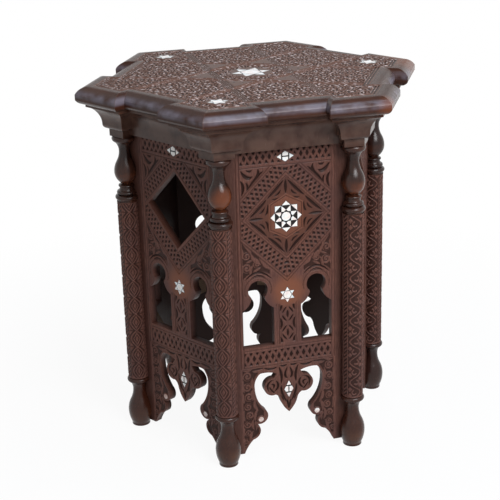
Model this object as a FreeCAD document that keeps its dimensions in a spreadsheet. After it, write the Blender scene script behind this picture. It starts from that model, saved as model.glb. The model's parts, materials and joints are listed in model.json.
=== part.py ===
import FreeCAD, Part
import math
import os
import Sketcher

# Hexagonal side table: six turned columns, six pierced panels, a moulded frieze and an inlaid top.
# Lengths are in millimetres. Z is up, the floor is at zero and the table's axis is the Z axis.
SIZES = {
    # Whole table
    "table_height": 560.0,
    "column_circle": 200.0,
    "joint_gap": 0.1,
    "cut_overrun": 5.0,
    # Top board and the nosing round it
    "top_thickness": 26.0,
    "nose_apothem": 232.5,
    "recess_depth": 18.0,
    "recess_half_width": 44.5,
    "nosing_width": 24.5,
    "return_width": 14.0,
    "nose_round_width": 18.0,
    "nose_round_height": 11.0,
    "nose_under_width": 11.0,
    "nose_under_height": 7.0,
    # Capital blocks and frieze rails
    "capital_height": 51.0,
    "abacus_height": 11.5,
    "abacus_offset": 18.0,
    "abacus_step": 1.0,
    "return_extra": 2.0,
    "ovolo_size": 7.5,
    "cove_reach": 17.5,
    "fillet_height": 4.5,
    "fillet_step": 2.4,
    "rail_height": 47.0,
    "rail_lip": 5.0,
    "rail_offset": 6.0,
    # Columns
    "foot_base_radius": 14.5,
    "foot_base_height": 4.0,
    "foot_bulb_radius": 19.3,
    "foot_bulb_level": 25.0,
    "foot_neck_radius": 10.0,
    "foot_neck_level": 63.0,
    "ring_seat_radius": 14.5,
    "ring_radius": 18.2,
    "ring_height": 8.0,
    "ring_level": 76.0,
    "shaft_radius": 15.0,
    "torus_seat_radius": 12.0,
    "torus_radius": 15.4,
    "torus_height": 7.0,
    "collar_radius": 10.6,
    "collar_height": 5.0,
    "bead_radius": 12.4,
    "bead_height": 4.0,
    "pear_neck_radius": 7.4,
    "pear_neck_rise": 1.5,
    "pear_radius": 17.4,
    "pear_level": 18.5,
    "pear_top_radius": 8.4,
    "pear_height": 51.0,
    "cap_seat_radius": 14.2,
    "cap_radius": 18.2,
    "cap_cove_height": 14.0,
    "cap_height": 10.5,
    "tenon_radius": 6.0,
    "tenon_length": 22.0,
    # Panels
    "panel_thickness": 12.0,
    "panel_setback": 7.0,
    "panel_clearance": 7.0,
    "apron_level": 148.0,
    "apron_half_span": 89.0,
    "sill_level": 182.0,
    "keyhole_center": 45.0,
    "keyhole_half_width": 24.0,
    "keyhole_straight": 61.0,
    "keyhole_shoulder": 19.0,
    "keyhole_shoulder_rise": 3.0,
    "keyhole_neck_half_width": 10.0,
    "keyhole_head_radius": 15.0,
    "lozenge_level": 382.5,
    "lozenge_half_diagonal": 60.5,
    "lozenge_recess": 3.0,
    "cartouche_half_width": 26.0,
    "cartouche_half_height": 34.0,
    "cartouche_side_half_height": 20.0,
    # Carved fields of the panels, sunk between raised frames
    "field_depth": 1.2,
    "field_half_width": 67.5,
    "frame_width": 5.5,
    "strip_height": 21.5,
    "strip_margin": 2.0,
    "strip_gap": 3.0,
    "crest_margin": 4.5,
    "band_margin": 7.5,
    "band_width": 26.0,
    "arch_band": 14.0,
    "rail_field_height": 23.0,
    "rail_field_margin": 3.0,
    "mullion_field_half_width": 12.0,
    "mullion_field_height": 57.0,
    "mullion_field_margin": 4.0,
    # Carved fields of the top, sunk between raised straps
    "top_field_depth": 1.0,
    "strap_apothem": 56.0,
    "strap_half_width": 6.0,
    "border_width": 9.0,
    "star_margin": 2.5,
    # Inlay
    "inlay_thickness": 1.5,
    "crest_level": 472.5,
    "crest_half_width": 13.0,
    "crest_half_height": 8.0,
    "great_star_radius": 24.0,
    "mullion_star_level": 260.5,
    "mullion_star_radius": 12.5,
    "pendant_level": 106.0,
    "pendant_half_width": 7.5,
    "pendant_half_height": 14.0,
    "dot_offset": 45.0,
    "dot_level": 61.5,
    "dot_radius": 4.0,
    "center_star_radius": 30.5,
    "corner_star_radius": 15.5,
    "corner_star_place": 190.4,
    # Blocks, battens and screws inside
    "block_height": 30.0,
    "block_reach": 54.0,
    "glue_block_height": 26.0,
    "batten_length": 240.0,
    "batten_width": 30.0,
    "batten_offset": 70.0,
    "batten_screw_offset": 80.0,
    "block_screw_offset": 37.0,
    "screw_radius": 2.0,
    "screw_bite": 12.0,
    "screw_head_radius": 4.0,
    "screw_head_height": 2.5,
}

SIDES = 6
TURN = 360.0 / SIDES
COS_HALF = math.cos(math.radians(TURN / 2))
SIN_HALF = math.sin(math.radians(TURN / 2))
TAN_HALF = SIN_HALF / COS_HALF
FIRST_COLUMN_ANGLE = 240.0

# Where an S curve between a neck and the widest place changes over, and how full the nose's curves are.
CHANGE_SHARE = 0.5
NOSE_FULLNESS_SHARE = 0.25
# Lower edge of a panel from the pendant's tip to the foot of the leg: place across as a share of the
# apron's half span, height as a share of the apron's height, and rise of the curve to the next point
# as a share of the half span (above zero it cuts into the wood).
APRON_SHARES = [
    (0.0, 0.43, -0.02),
    (0.15, 0.58, 0.02),
    (0.235, 0.655, -0.185),
    (0.27, 0.85, 0.0),
    (0.21, 0.905, 0.02),
    (0.505, 0.93, 0.035),
    (0.605, 0.77, 0.04),
    (0.44, 0.5, -0.12),
    (0.56, 0.335, 0.0),
    (0.64, 0.355, -0.13),
    (0.65, 0.155, 0.015),
    (0.81, 0.0, 0.0),
]
# Pieces of the stars and lozenges as shares of their radius or half length, and how much of its place
# each piece fills.
GREAT_STAR_WAIST_SHARE = 0.7654
GREAT_STAR_DART_SHARE = 0.42
GREAT_STAR_HUB_SHARE = 0.33
GREAT_STAR_DISC_SHARE = 0.28
SMALL_STAR_WAIST_SHARE = 0.5774
LOZENGE_END_SHARE = 0.46
LOZENGE_MIDDLE_SHARE = 0.36
LOZENGE_GAP_SHARE = 0.08
PIECE_SHARE = 0.9
GREAT_STAR_POINTS = 8
SMALL_STAR_POINTS = 6


class Size:
    """A length together with the expression that ties it to the sheet."""

    def __init__(self, value, text):
        self.value = value
        self.text = text

    def __add__(self, other):
        other = as_size(other)
        return Size(self.value + other.value, f"({self.text} + {other.text})")

    def __sub__(self, other):
        other = as_size(other)
        return Size(self.value - other.value, f"({self.text} - {other.text})")

    def __mul__(self, other):
        other = as_size(other)
        return Size(self.value * other.value, f"({self.text} * {other.text})")

    def __truediv__(self, other):
        other = as_size(other)
        return Size(self.value / other.value, f"({self.text} / {other.text})")

    def __neg__(self):
        return Size(-self.value, f"(0 - {self.text})")

    def root(self):
        return Size(math.sqrt(self.value), f"sqrt({self.text})")


def as_size(item):
    return item if isinstance(item, Size) else Size(float(item), f"{item:.9f}")


class Table:
    """The sizes of the sheet by name."""


ZERO = Size(0.0, "0")
D = Table()
doc = FreeCAD.newDocument("table")
sheet = doc.addObject("Spreadsheet::Sheet", "Sizes")
for row, (name, number) in enumerate(SIZES.items(), start=1):
    sheet.set(f"A{row}", name)
    sheet.set(f"B{row}", str(number))
    sheet.setAlias(f"B{row}", name)
    setattr(D, name, Size(number, f"Sizes.{name}"))
doc.recompute()

# Levels and distances that follow from the sizes
axis_apothem = D.column_circle * COS_HALF
half_side = D.column_circle * SIN_HALF
board_bottom = D.table_height - D.top_thickness
column_top = board_bottom - D.capital_height
rail_bottom = board_bottom - D.rail_height
panel_top = rail_bottom + D.rail_lip
inner_offset = -D.panel_setback - D.panel_thickness
panel_face = axis_apothem - D.panel_setback
panel_back = axis_apothem + inner_offset
panel_half_width = half_side - D.panel_setback * TAN_HALF - D.joint_gap
nose_offset = D.nose_apothem - axis_apothem
recess_nose_apothem = D.nose_apothem - D.recess_depth
field_return = D.recess_half_width + D.return_width
abacus_top = column_top + D.abacus_height
cove_level = abacus_top + D.ovolo_size
fillet_level = board_bottom - D.fillet_height
cove_end = D.abacus_offset + D.abacus_step + D.ovolo_size + D.cove_reach
block_end = D.abacus_offset + D.return_extra
keyhole_neck = D.sill_level + D.keyhole_straight + D.keyhole_shoulder
keyhole_head_height = (D.keyhole_head_radius * D.keyhole_head_radius
                       - D.keyhole_neck_half_width * D.keyhole_neck_half_width).root()
keyhole_head = keyhole_neck + keyhole_head_height
block_bottom = board_bottom - D.block_height


def vector(point):
    return FreeCAD.Vector(point[0].value, point[1].value, 0)


def bow(start, end, rise):
    """Radius of the arc over the chord between two points with the given rise."""
    across = end[0] - start[0]
    along = end[1] - start[1]
    height = rise if rise.value > 0 else -rise
    return (across * across + along * along) / height / 8 + height / 2


def arc_curve(start, end, rise):
    """The arc as a curve that runs against the clock, and the ends where it starts and stops."""
    a = vector(start)
    b = vector(end)
    chord = b - a
    middle = (a + b) / 2 + FreeCAD.Vector(-chord.y, chord.x, 0).normalize() * rise.value
    if rise.value > 0:
        return Part.Arc(b, middle, a), (2, 1)
    return Part.Arc(a, middle, b), (1, 2)


def pin(constraints, bindings, curve, end, point):
    """Hold one point of a sketch at its two sizes."""
    for kind, axis, size in (("DistanceX", -2, point[0]), ("DistanceY", -1, point[1])):
        if size is ZERO:
            constraints.append(Sketcher.Constraint("PointOnObject", curve, end, axis))
        else:
            bindings.append((len(constraints), size.text))
            constraints.append(Sketcher.Constraint(kind, curve, end, size.value))


def draw(sketch, outlines, discs=()):
    """Draw closed outlines of lines and arcs, and full circles, held by sizes of the sheet.

    Each point of an outline is a pair of sizes; a third size is the rise of an arc to the next
    point, to the left of the way there.
    """
    geometry = []
    constraints = []
    bindings = []
    for outline in outlines:
        first = len(geometry)
        ends = []
        for place, point in enumerate(outline):
            following = outline[(place + 1) % len(outline)]
            curve = len(geometry)
            if len(point) == 2:
                geometry.append(Part.LineSegment(vector(point), vector(following)))
                ends.append((1, 2))
            else:
                shape, pair = arc_curve(point, following, point[2])
                radius = bow(point, following, point[2])
                geometry.append(shape)
                ends.append(pair)
                bindings.append((len(constraints), radius.text))
                constraints.append(Sketcher.Constraint("Radius", curve, radius.value))
            pin(constraints, bindings, curve, ends[place][0], point)
        for place in range(len(outline)):
            after = (place + 1) % len(outline)
            joined = (first + place, ends[place][1], first + after, ends[after][0])
            constraints.append(Sketcher.Constraint("Coincident", *joined))
    for center, radius in discs:
        curve = len(geometry)
        geometry.append(Part.Circle(vector(center), FreeCAD.Vector(0, 0, 1), radius.value))
        pin(constraints, bindings, curve, 3, center)
        bindings.append((len(constraints), radius.text))
        constraints.append(Sketcher.Constraint("Radius", curve, radius.value))
    sketch.addGeometry(geometry, False)
    sketch.addConstraint(constraints)
    for place, text in bindings:
        sketch.setExpression(f"Constraints[{place}]", text)


def new_body(label):
    body = doc.addObject("PartDesign::Body", label)
    body.Label = label
    return body


def sketch_on(body, role, outlines, discs=(), height=ZERO, turn=0.0):
    """A sketch on one of the body's own planes, raised along its normal and turned about Z."""
    sketch = body.newObject("Sketcher::SketchObject", f"{body.Name}_sketch")
    plane = next(item for item in body.Origin.OriginFeatures if item.Role == role)
    sketch.AttachmentSupport = [(plane, "")]
    sketch.MapMode = "FlatFace"
    upright = FreeCAD.Vector(0, 1, 0) if role == "XZ_Plane" else FreeCAD.Vector(0, 0, 1)
    sketch.AttachmentOffset = FreeCAD.Placement(FreeCAD.Vector(), FreeCAD.Rotation(upright, turn))
    across = height * math.sin(math.radians(turn))
    along = height * math.cos(math.radians(turn))
    sketch.setExpression("AttachmentOffset.Base.x", across.text)
    sketch.setExpression("AttachmentOffset.Base.z", along.text)
    draw(sketch, outlines, discs)
    return sketch


def pad(body, sketch, length, side="One side", backward=False):
    feature = body.newObject("PartDesign::Pad", f"{body.Name}_pad")
    feature.Profile = sketch
    feature.SideType = side
    feature.Reversed = backward
    feature.setExpression("Length", length.text)
    sketch.Visibility = False
    return feature


def pocket(body, sketch, length=None, side="One side", backward=False):
    """Cut to a depth against the sketch's normal, or through all of the body."""
    feature = body.newObject("PartDesign::Pocket", f"{body.Name}_pocket")
    feature.Profile = sketch
    feature.SideType = side
    feature.Reversed = backward
    if length is None:
        feature.Type = "ThroughAll"
        feature.Type2 = "ThroughAll"
    else:
        feature.setExpression("Length", length.text)
    sketch.Visibility = False
    return feature


def at_column(item, column):
    """Put a piece that is built about a column's axis, outward along X, at one of the columns."""
    angle = FIRST_COLUMN_ANGLE + TURN * column
    item.Placement = FreeCAD.Placement(FreeCAD.Vector(), FreeCAD.Rotation(FreeCAD.Vector(0, 0, 1), angle))
    across = D.column_circle * math.cos(math.radians(angle))
    along = D.column_circle * math.sin(math.radians(angle))
    item.setExpression("Placement.Base.x", across.text)
    item.setExpression("Placement.Base.y", along.text)


def at_side(item, side):
    """Put a piece that is built for the front side at one of the sides."""
    turn = FreeCAD.Rotation(FreeCAD.Vector(0, 0, 1), TURN * side)
    item.Placement = FreeCAD.Placement(FreeCAD.Vector(), turn)


def group(label, items):
    """Loose pieces of one kind that share a node."""
    compound = doc.addObject("Part::Compound", label)
    compound.Label = label
    compound.Links = items
    return compound


def between(start, end, share):
    return (start[0] + (end[0] - start[0]) * share, start[1] + (end[1] - start[1]) * share)


def swell(start, end):
    """Rise of the arc between two turned points that runs upright at one of them."""
    across = end[0] - start[0]
    along = end[1] - start[1]
    square = across * across + along * along
    width = across if across.value > 0 else -across
    radius = square / width / 2
    return radius - (radius * radius - square / 4).root()


def hollow(start, end):
    return (*start, -swell(start, end))


def round_out(start, end):
    return (*start, swell(start, end))


def ogee(neck, widest, neck_first):
    """An S curve between a neck and the widest place, given in the order of travel."""
    middle = between(neck, widest, CHANGE_SHARE)
    if neck_first:
        return [hollow(neck, middle), round_out(middle, widest)]
    return [round_out(widest, middle), hollow(middle, neck)]


def on_side(offset, along, sign):
    """Point in a column's frame: offset out of the side's axis plane and distance along that side."""
    x = offset * COS_HALF - along * SIN_HALF
    y = (offset * SIN_HALF + along * COS_HALF) * sign
    return (x, y)


def notch():
    """Room behind a column for the mitred edges of two panels, in the column's frame."""
    front = D.joint_gap - D.panel_setback
    return [(front / COS_HALF, ZERO), on_side(front, half_side, 1), on_side(front, half_side, -1)]


def polar(center, radius, degrees):
    x = radius * math.cos(math.radians(degrees))
    y = radius * math.sin(math.radians(degrees))
    return (center[0] + x, center[1] + y)


def turned(points, degrees):
    """Points turned about the table's axis."""
    across = math.cos(math.radians(degrees))
    along = math.sin(math.radians(degrees))
    return [(x * across - y * along, x * along + y * across) for x, y in points]


def mirrored(points):
    """The same outline on the other side of the middle."""
    return [(-x, z, *[-rise for rise in rises]) for x, z, *rises in points]


def rectangle(half_width, bottom, height):
    top = bottom + height
    return [(half_width, bottom), (half_width, top), (-half_width, top), (-half_width, bottom)]


def shrink(points, share):
    """The same shape about its middle, with a share of its size."""
    count = len(points)
    x = ZERO
    y = ZERO
    for point in points:
        x = x + point[0] / count
        y = y + point[1] / count
    return [between((x, y), point, share) for point in points]


def build_column(label):
    body = new_body(label)
    cap_bottom = column_top - D.cap_height
    pear_top = cap_bottom - D.cap_cove_height
    pear_neck = pear_top - D.pear_height
    bead_bottom = pear_neck - D.pear_neck_rise - D.bead_height
    collar_bottom = bead_bottom - D.collar_height
    torus_bottom = collar_bottom - D.torus_height
    ring_top = D.ring_level + D.ring_height
    cap_low = (D.cap_seat_radius, cap_bottom)
    pear_end = (D.pear_top_radius, pear_top)
    pear_wide = (D.pear_radius, pear_neck + D.pear_level)
    pear_low = (D.pear_neck_radius, pear_neck)
    collar_up = (D.collar_radius, bead_bottom)
    collar_low = (D.torus_seat_radius, collar_bottom)
    ring_rise = D.ring_radius - D.ring_seat_radius
    neck_up = (D.ring_seat_radius, D.ring_level)
    neck = (D.foot_neck_radius, D.foot_neck_level)
    bulb = (D.foot_bulb_radius, D.foot_bulb_level)
    base = (D.foot_base_radius, D.foot_base_height)
    outline = [
        (ZERO, column_top + D.tenon_length),
        (D.tenon_radius, column_top + D.tenon_length),
        (D.tenon_radius, column_top),
        (D.cap_seat_radius, column_top, D.cap_radius - D.cap_seat_radius),
        hollow(cap_low, pear_end),
        *ogee(pear_end, pear_wide, True),
        round_out(pear_wide, pear_low),
        pear_low,
        (D.collar_radius, bead_bottom + D.bead_height, D.bead_radius - D.collar_radius),
        hollow(collar_up, collar_low),
        (*collar_low, D.torus_radius - D.torus_seat_radius),
        (D.torus_seat_radius, torus_bottom),
        (D.ring_seat_radius, torus_bottom, ring_rise),
        (D.ring_seat_radius, torus_bottom - D.ring_height),
        (D.shaft_radius, torus_bottom - D.ring_height),
        (D.shaft_radius, ring_top),
        (D.ring_seat_radius, ring_top, ring_rise),
        hollow(neck_up, neck),
        *ogee(neck, bulb, True),
        round_out(bulb, base),
        base,
        (D.foot_base_radius, ZERO),
        (ZERO, ZERO),
    ]
    profile = sketch_on(body, "XZ_Plane", [outline])
    turned = body.newObject("PartDesign::Revolution", f"{label}_turning")
    turned.Profile = profile
    turned.ReferenceAxis = (profile, ["V_Axis"])
    turned.Angle = 360.0
    profile.Visibility = False
    floor = D.panel_clearance - D.joint_gap
    pocket(body, sketch_on(body, "XY_Plane", [notch()], height=floor), backward=True)
    return body


def moulding(offset, overrun):
    """Region to cut away outside the moulded face that starts at the given offset."""
    ovolo = (offset + D.abacus_step, abacus_top)
    waist = (ovolo[0] + D.ovolo_size, cove_level)
    end = (waist[0] + D.cove_reach, fillet_level)
    fillet = end[0] + D.fillet_step
    far = fillet + overrun
    foot = column_top - overrun
    return [
        (offset, foot),
        (offset, abacus_top),
        (*ovolo, -swell(ovolo, waist)),
        (*waist, swell(waist, end)),
        end,
        (fillet, fillet_level),
        (fillet, D.table_height),
        (far, D.table_height),
        (far, foot),
    ]


def rail_outline():
    """Cross-section of a frieze rail: offset from the axis plane and height."""
    start = (D.rail_offset, cove_level)
    end = (cove_end - D.recess_depth, fillet_level)
    fillet = end[0] + D.fillet_step
    return [
        (inner_offset, board_bottom),
        (inner_offset, panel_top),
        (-D.panel_setback, panel_top),
        (-D.panel_setback, rail_bottom),
        (D.rail_offset, rail_bottom),
        (*start, swell(start, end)),
        end,
        (fillet, fillet_level),
        (fillet, board_bottom),
    ]


def on_front(points):
    """A cross-section of offsets and heights as places along Y on the front side."""
    placed = []
    for offset, level, *rises in points:
        placed.append((-axis_apothem - offset, level, *[-rise for rise in rises]))
    return placed


def build_capital(label):
    body = new_body(label)
    widest = cove_end + D.fillet_step
    reach = widest + D.return_extra
    plan = [
        (widest / COS_HALF, ZERO),
        on_side(widest, reach, 1),
        on_side(inner_offset, reach, 1),
        (inner_offset / COS_HALF, ZERO),
        on_side(inner_offset, reach, -1),
        on_side(widest, reach, -1),
    ]
    pad(body, sketch_on(body, "XY_Plane", [plan], height=column_top), D.capital_height)
    face = moulding(D.abacus_offset, D.cut_overrun)
    side_face = moulding(block_end, D.cut_overrun)
    for sign in (1, -1):
        turn = TURN / 2 * sign
        pocket(body, sketch_on(body, "XZ_Plane", [face], turn=turn), side="Symmetric")
        across = turn + 90.0 * sign
        pocket(body, sketch_on(body, "XZ_Plane", [side_face], turn=across), side="Symmetric")
    for sign in (1, -1):
        turn = TURN / 2 * sign
        seat = sketch_on(body, "XZ_Plane", [rail_outline()], height=block_end * -sign, turn=turn)
        pocket(body, seat, backward=sign < 0)
    room = sketch_on(body, "XY_Plane", [notch()], height=column_top)
    pocket(body, room, panel_top - column_top, backward=True)
    bore = [((ZERO, ZERO), D.tenon_radius + D.joint_gap)]
    depth = D.tenon_length + D.joint_gap
    pocket(body, sketch_on(body, "XY_Plane", [], bore, height=column_top), depth, backward=True)
    return body


def build_rail(label):
    body = new_body(label)
    length = (half_side - block_end) * 2
    profile = sketch_on(body, "YZ_Plane", [on_front(rail_outline())])
    pad(body, profile, length, side="Symmetric")
    return body


def build_nosing(label, plan, width, outer, turn):
    """One strip: its plan, then the nose worked along its outer edge."""
    body = new_body(label)
    pad(body, sketch_on(body, "XY_Plane", [plan], height=board_bottom), D.top_thickness)
    share = width / D.nosing_width
    crown = outer - D.nose_round_width * share
    under = outer - D.nose_under_width * share
    far = outer + D.cut_overrun
    fullness = share.root() * NOSE_FULLNESS_SHARE
    nose = [
        (crown, D.table_height, D.nose_round_height * fullness),
        (outer, D.table_height - D.nose_round_height),
        (outer, board_bottom + D.nose_under_height, D.nose_under_height * fullness),
        (under, board_bottom),
        (far, board_bottom),
        (far, D.table_height),
    ]
    pocket(body, sketch_on(body, "XZ_Plane", [nose], turn=turn), side="Symmetric")
    return body


def build_nosings(label, column):
    """The two corner strips and the two returns at one column."""
    strips = []
    field_offset = nose_offset - D.nosing_width
    nose_end = half_side - D.recess_half_width
    field_end = half_side - field_return
    for sign in (1, -1):
        corner_plan = [
            (nose_offset / COS_HALF, ZERO),
            on_side(nose_offset, nose_end, sign),
            on_side(field_offset, field_end, sign),
            (field_offset / COS_HALF, ZERO),
        ]
        return_plan = [
            on_side(nose_offset, nose_end, sign),
            on_side(nose_offset - D.recess_depth, nose_end, sign),
            on_side(field_offset - D.recess_depth, field_end, sign),
            on_side(field_offset, field_end, sign),
        ]
        turn = TURN / 2 * sign
        name = f"{label}_{'left' if sign > 0 else 'right'}"
        strips.append(build_nosing(f"{name}_strip", corner_plan, D.nosing_width, nose_offset, turn))
        across = turn + 90.0 * sign
        strips.append(build_nosing(f"{name}_return", return_plan, D.return_width, nose_end, across))
    for strip in strips:
        at_column(strip, column)
    return group(label, strips)


def build_recess_nosing(label):
    outer = -recess_nose_apothem
    inner = D.nosing_width - recess_nose_apothem
    plan = [
        (-D.recess_half_width, outer),
        (D.recess_half_width, outer),
        (field_return, inner),
        (-field_return, inner),
    ]
    return build_nosing(label, plan, D.nosing_width, recess_nose_apothem, -90.0)


def lozenge(center, half_width, half_height):
    x, z = center
    return [(x + half_width, z), (x, z + half_height), (x - half_width, z), (x, z - half_height)]


def lozenge_pieces(center, half_width, half_height):
    """A point at each end of the lozenge's long axis and two pieces side by side between them."""
    level = half_width.value > half_height.value
    long, short = (half_width, half_height) if level else (half_height, half_width)
    end = long * LOZENGE_END_SHARE
    middle = long * LOZENGE_MIDDLE_SHARE
    gap = short * LOZENGE_GAP_SHARE
    end_reach = short * (1 - LOZENGE_END_SHARE)
    middle_reach = short * (1 - LOZENGE_MIDDLE_SHARE)
    pieces = []
    for sign in (1, -1):
        point = [(long * sign, ZERO), (end * sign, end_reach), (end * sign, -end_reach)]
        leaf = [
            (middle, gap * sign),
            (middle, middle_reach * sign),
            (ZERO, short * sign),
            (-middle, middle_reach * sign),
            (-middle, gap * sign),
        ]
        for piece in (point, leaf):
            placed = piece if level else [(across, along) for along, across in piece]
            pieces.append(shrink([(center[0] + x, center[1] + z) for x, z in placed], PIECE_SHARE))
    return pieces


def star(center, radius, points, waist_share, first):
    step = 180.0 / points
    outline = []
    for point in range(points):
        angle = first + 2 * step * point
        outline.append(polar(center, radius, angle))
        outline.append(polar(center, radius * waist_share, angle + step))
    return outline


def small_star_pieces(center, radius, first):
    """Six points about a middle with six corners."""
    step = 180.0 / SMALL_STAR_POINTS
    waist = radius * SMALL_STAR_WAIST_SHARE
    middle = []
    pieces = []
    for point in range(SMALL_STAR_POINTS):
        angle = first + 2 * step * point
        middle.append(polar(center, waist * PIECE_SHARE, angle + step))
        tip = [polar(center, radius, angle)]
        tip += [polar(center, waist, angle + turn) for turn in (step, -step)]
        pieces.append(shrink(tip, PIECE_SHARE))
    return [middle, *pieces]


def great_star_pieces(center, radius):
    """Eight points and eight darts between them."""
    step = 180.0 / GREAT_STAR_POINTS
    pieces = []
    for point in range(GREAT_STAR_POINTS):
        angle = 90.0 + 2 * step * point
        tip = [
            polar(center, radius, angle),
            polar(center, radius * GREAT_STAR_WAIST_SHARE, angle + step),
            polar(center, radius * GREAT_STAR_WAIST_SHARE, angle - step),
        ]
        dart = [
            polar(center, radius * GREAT_STAR_WAIST_SHARE, angle + step),
            polar(center, radius * GREAT_STAR_DART_SHARE, angle + 2 * step),
            polar(center, radius * GREAT_STAR_HUB_SHARE, angle + step),
            polar(center, radius * GREAT_STAR_DART_SHARE, angle),
        ]
        pieces.append(shrink(tip, PIECE_SHARE))
        pieces.append(shrink(dart, PIECE_SHARE))
    return pieces


crest = ((ZERO, D.crest_level), D.crest_half_width, D.crest_half_height)
pendant = ((ZERO, D.pendant_level), D.pendant_half_width, D.pendant_half_height)
mullion_star = ((ZERO, D.mullion_star_level), D.mullion_star_radius)
great_star = ((ZERO, D.lozenge_level), D.great_star_radius)
dots = [((D.dot_offset, D.dot_level), D.dot_radius), ((-D.dot_offset, D.dot_level), D.dot_radius)]
inlay_face = panel_face - D.inlay_thickness


def inlay_seats(starred):
    seats = [
        lozenge(*crest),
        lozenge(*pendant),
        star(*mullion_star, SMALL_STAR_POINTS, SMALL_STAR_WAIST_SHARE, 90.0),
    ]
    if starred:
        seats.append(star(*great_star, GREAT_STAR_POINTS, GREAT_STAR_WAIST_SHARE, 90.0))
    return seats


def apron_edge():
    """Lower edge of a panel from the left leg to the right one."""
    height = D.apron_level - D.panel_clearance
    right = []
    for across, up, rise in APRON_SHARES:
        x = D.apron_half_span * across if across else ZERO
        right.append((x, D.panel_clearance + height * up, rise))
    edge = []
    for place in range(len(right) - 1, 0, -1):
        x, z, _ = right[place]
        edge.append((-x, z, right[place - 1][2]))
    edge.extend(right)
    return [(x, z, D.apron_half_span * rise) if rise else (x, z) for x, z, rise in edge]


def keyhole(sign):
    """A keyhole opening, against the clock from its lower left corner."""
    middle = D.keyhole_center * sign
    left = middle - D.keyhole_half_width
    right = middle + D.keyhole_half_width
    shoulder = D.sill_level + D.keyhole_straight
    neck = D.keyhole_neck_half_width
    head_rise = D.keyhole_head_radius + keyhole_head_height
    return [
        (left, D.sill_level),
        (right, D.sill_level),
        (right, shoulder, D.keyhole_shoulder_rise),
        (middle + neck, keyhole_neck, -head_rise),
        (middle - neck, keyhole_neck, D.keyhole_shoulder_rise),
        (left, shoulder),
    ]


def carved_fields():
    """Outlines of the sunk fields on the face of a panel."""
    wide = D.field_half_width
    level = D.lozenge_level
    strip_top = rail_bottom - D.strip_margin
    strip_bottom = strip_top - D.strip_height
    frame_level = strip_bottom - D.frame_width
    band_inner = D.lozenge_half_diagonal + D.band_margin
    band_outer = band_inner + D.band_width
    corner = band_outer + D.band_margin
    rise = frame_level - level
    strip = [
        (D.strip_gap, strip_bottom),
        (wide, strip_bottom),
        (wide, strip_top),
        (D.strip_gap, strip_top),
        (D.crest_half_width + D.crest_margin, D.crest_level),
    ]
    upper_band = [
        (wide, level + band_inner - wide),
        (wide, level + band_outer - wide),
        (band_outer - rise, frame_level),
        (rise - band_outer, frame_level),
        (-wide, level + band_outer - wide),
        (-wide, level + band_inner - wide),
        (ZERO, level + band_inner),
    ]
    lower_band = [
        (wide, level - band_inner + wide),
        (ZERO, level - band_inner),
        (-wide, level - band_inner + wide),
        (-wide, level - band_outer + wide),
        (ZERO, level - band_outer),
        (wide, level - band_outer + wide),
    ]
    leaf = [(wide, level + corner - wide), (wide, frame_level), (corner - rise, frame_level)]
    arch = D.keyhole_head_radius + D.arch_band
    arch_half_width = wide - D.keyhole_center
    arch_height = (arch * arch - arch_half_width * arch_half_width).root()
    spring = keyhole_head + arch_height
    near = D.keyhole_center - arch_half_width
    spandrel = [
        (near, level - corner + near),
        (near, spring, arch - arch_height),
        (wide, spring),
        (wide, level - corner + wide),
    ]
    rail = rectangle(wide, D.apron_level + D.rail_field_margin, D.rail_field_height)
    mullion_bottom = D.sill_level + D.mullion_field_margin
    mullion = rectangle(D.mullion_field_half_width, mullion_bottom, D.mullion_field_height)
    fields = [upper_band, lower_band, rail, mullion]
    for outline in (strip, leaf, spandrel):
        fields += [outline, mirrored(outline)]
    return fields


def build_panel(label, starred):
    body = new_body(label)
    opening = lozenge((ZERO, D.lozenge_level), D.lozenge_half_diagonal, D.lozenge_half_diagonal)
    board = [
        (panel_half_width, D.panel_clearance),
        (panel_half_width, panel_top),
        (-panel_half_width, panel_top),
        (-panel_half_width, D.panel_clearance),
        *apron_edge(),
    ]
    outlines = [board, keyhole(-1), keyhole(1)]
    if not starred:
        outlines.append(opening)
    profile = sketch_on(body, "XZ_Plane", outlines, height=panel_back)
    pad(body, profile, D.panel_thickness)
    wide = panel_half_width + D.cut_overrun * TAN_HALF
    narrow = panel_half_width - (D.panel_thickness + D.cut_overrun) * TAN_HALF
    front = -panel_face - D.cut_overrun
    back = D.cut_overrun - panel_back
    mitres = [[(wide, front), (wide, back), (narrow, back)]]
    mitres.append([(-x, y) for x, y in mitres[0]])
    pocket(body, sketch_on(body, "XY_Plane", mitres), backward=True)
    seats = sketch_on(body, "XZ_Plane", inlay_seats(starred), dots, height=panel_face)
    pocket(body, seats, D.inlay_thickness)
    fields = sketch_on(body, "XZ_Plane", carved_fields(), height=panel_face)
    pocket(body, fields, D.field_depth)
    if starred:
        wide = D.cartouche_half_width
        side = D.cartouche_side_half_height
        level = D.lozenge_level
        cartouche = [
            (wide, level + side),
            (ZERO, level + D.cartouche_half_height),
            (-wide, level + side),
            (-wide, level - side),
            (ZERO, level - D.cartouche_half_height),
            (wide, level - side),
        ]
        ground = sketch_on(body, "XZ_Plane", [opening, cartouche], height=panel_face)
        pocket(body, ground, D.lozenge_recess)
    return body


def build_pearl(label, starred):
    body = new_body(label)
    pieces = lozenge_pieces(*crest) + lozenge_pieces(*pendant)
    pieces += small_star_pieces(*mullion_star, 90.0)
    discs = list(dots)
    if starred:
        pieces += great_star_pieces(*great_star)
        discs.append((great_star[0], D.great_star_radius * GREAT_STAR_DISC_SHARE))
    pad(body, sketch_on(body, "XZ_Plane", pieces, discs, height=inlay_face), D.inlay_thickness)
    return body


def build_ebony(label, ground, pearl):
    """What the pearl pieces leave of the inlay's seat."""
    cut = doc.addObject("Part::Cut", label)
    cut.Label = label
    cut.Base = ground
    cut.Tool = pearl
    return cut


def build_ground(label, starred):
    body = new_body(label)
    pad(body, sketch_on(body, "XZ_Plane", inlay_seats(starred), height=inlay_face), D.inlay_thickness)
    return body


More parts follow.
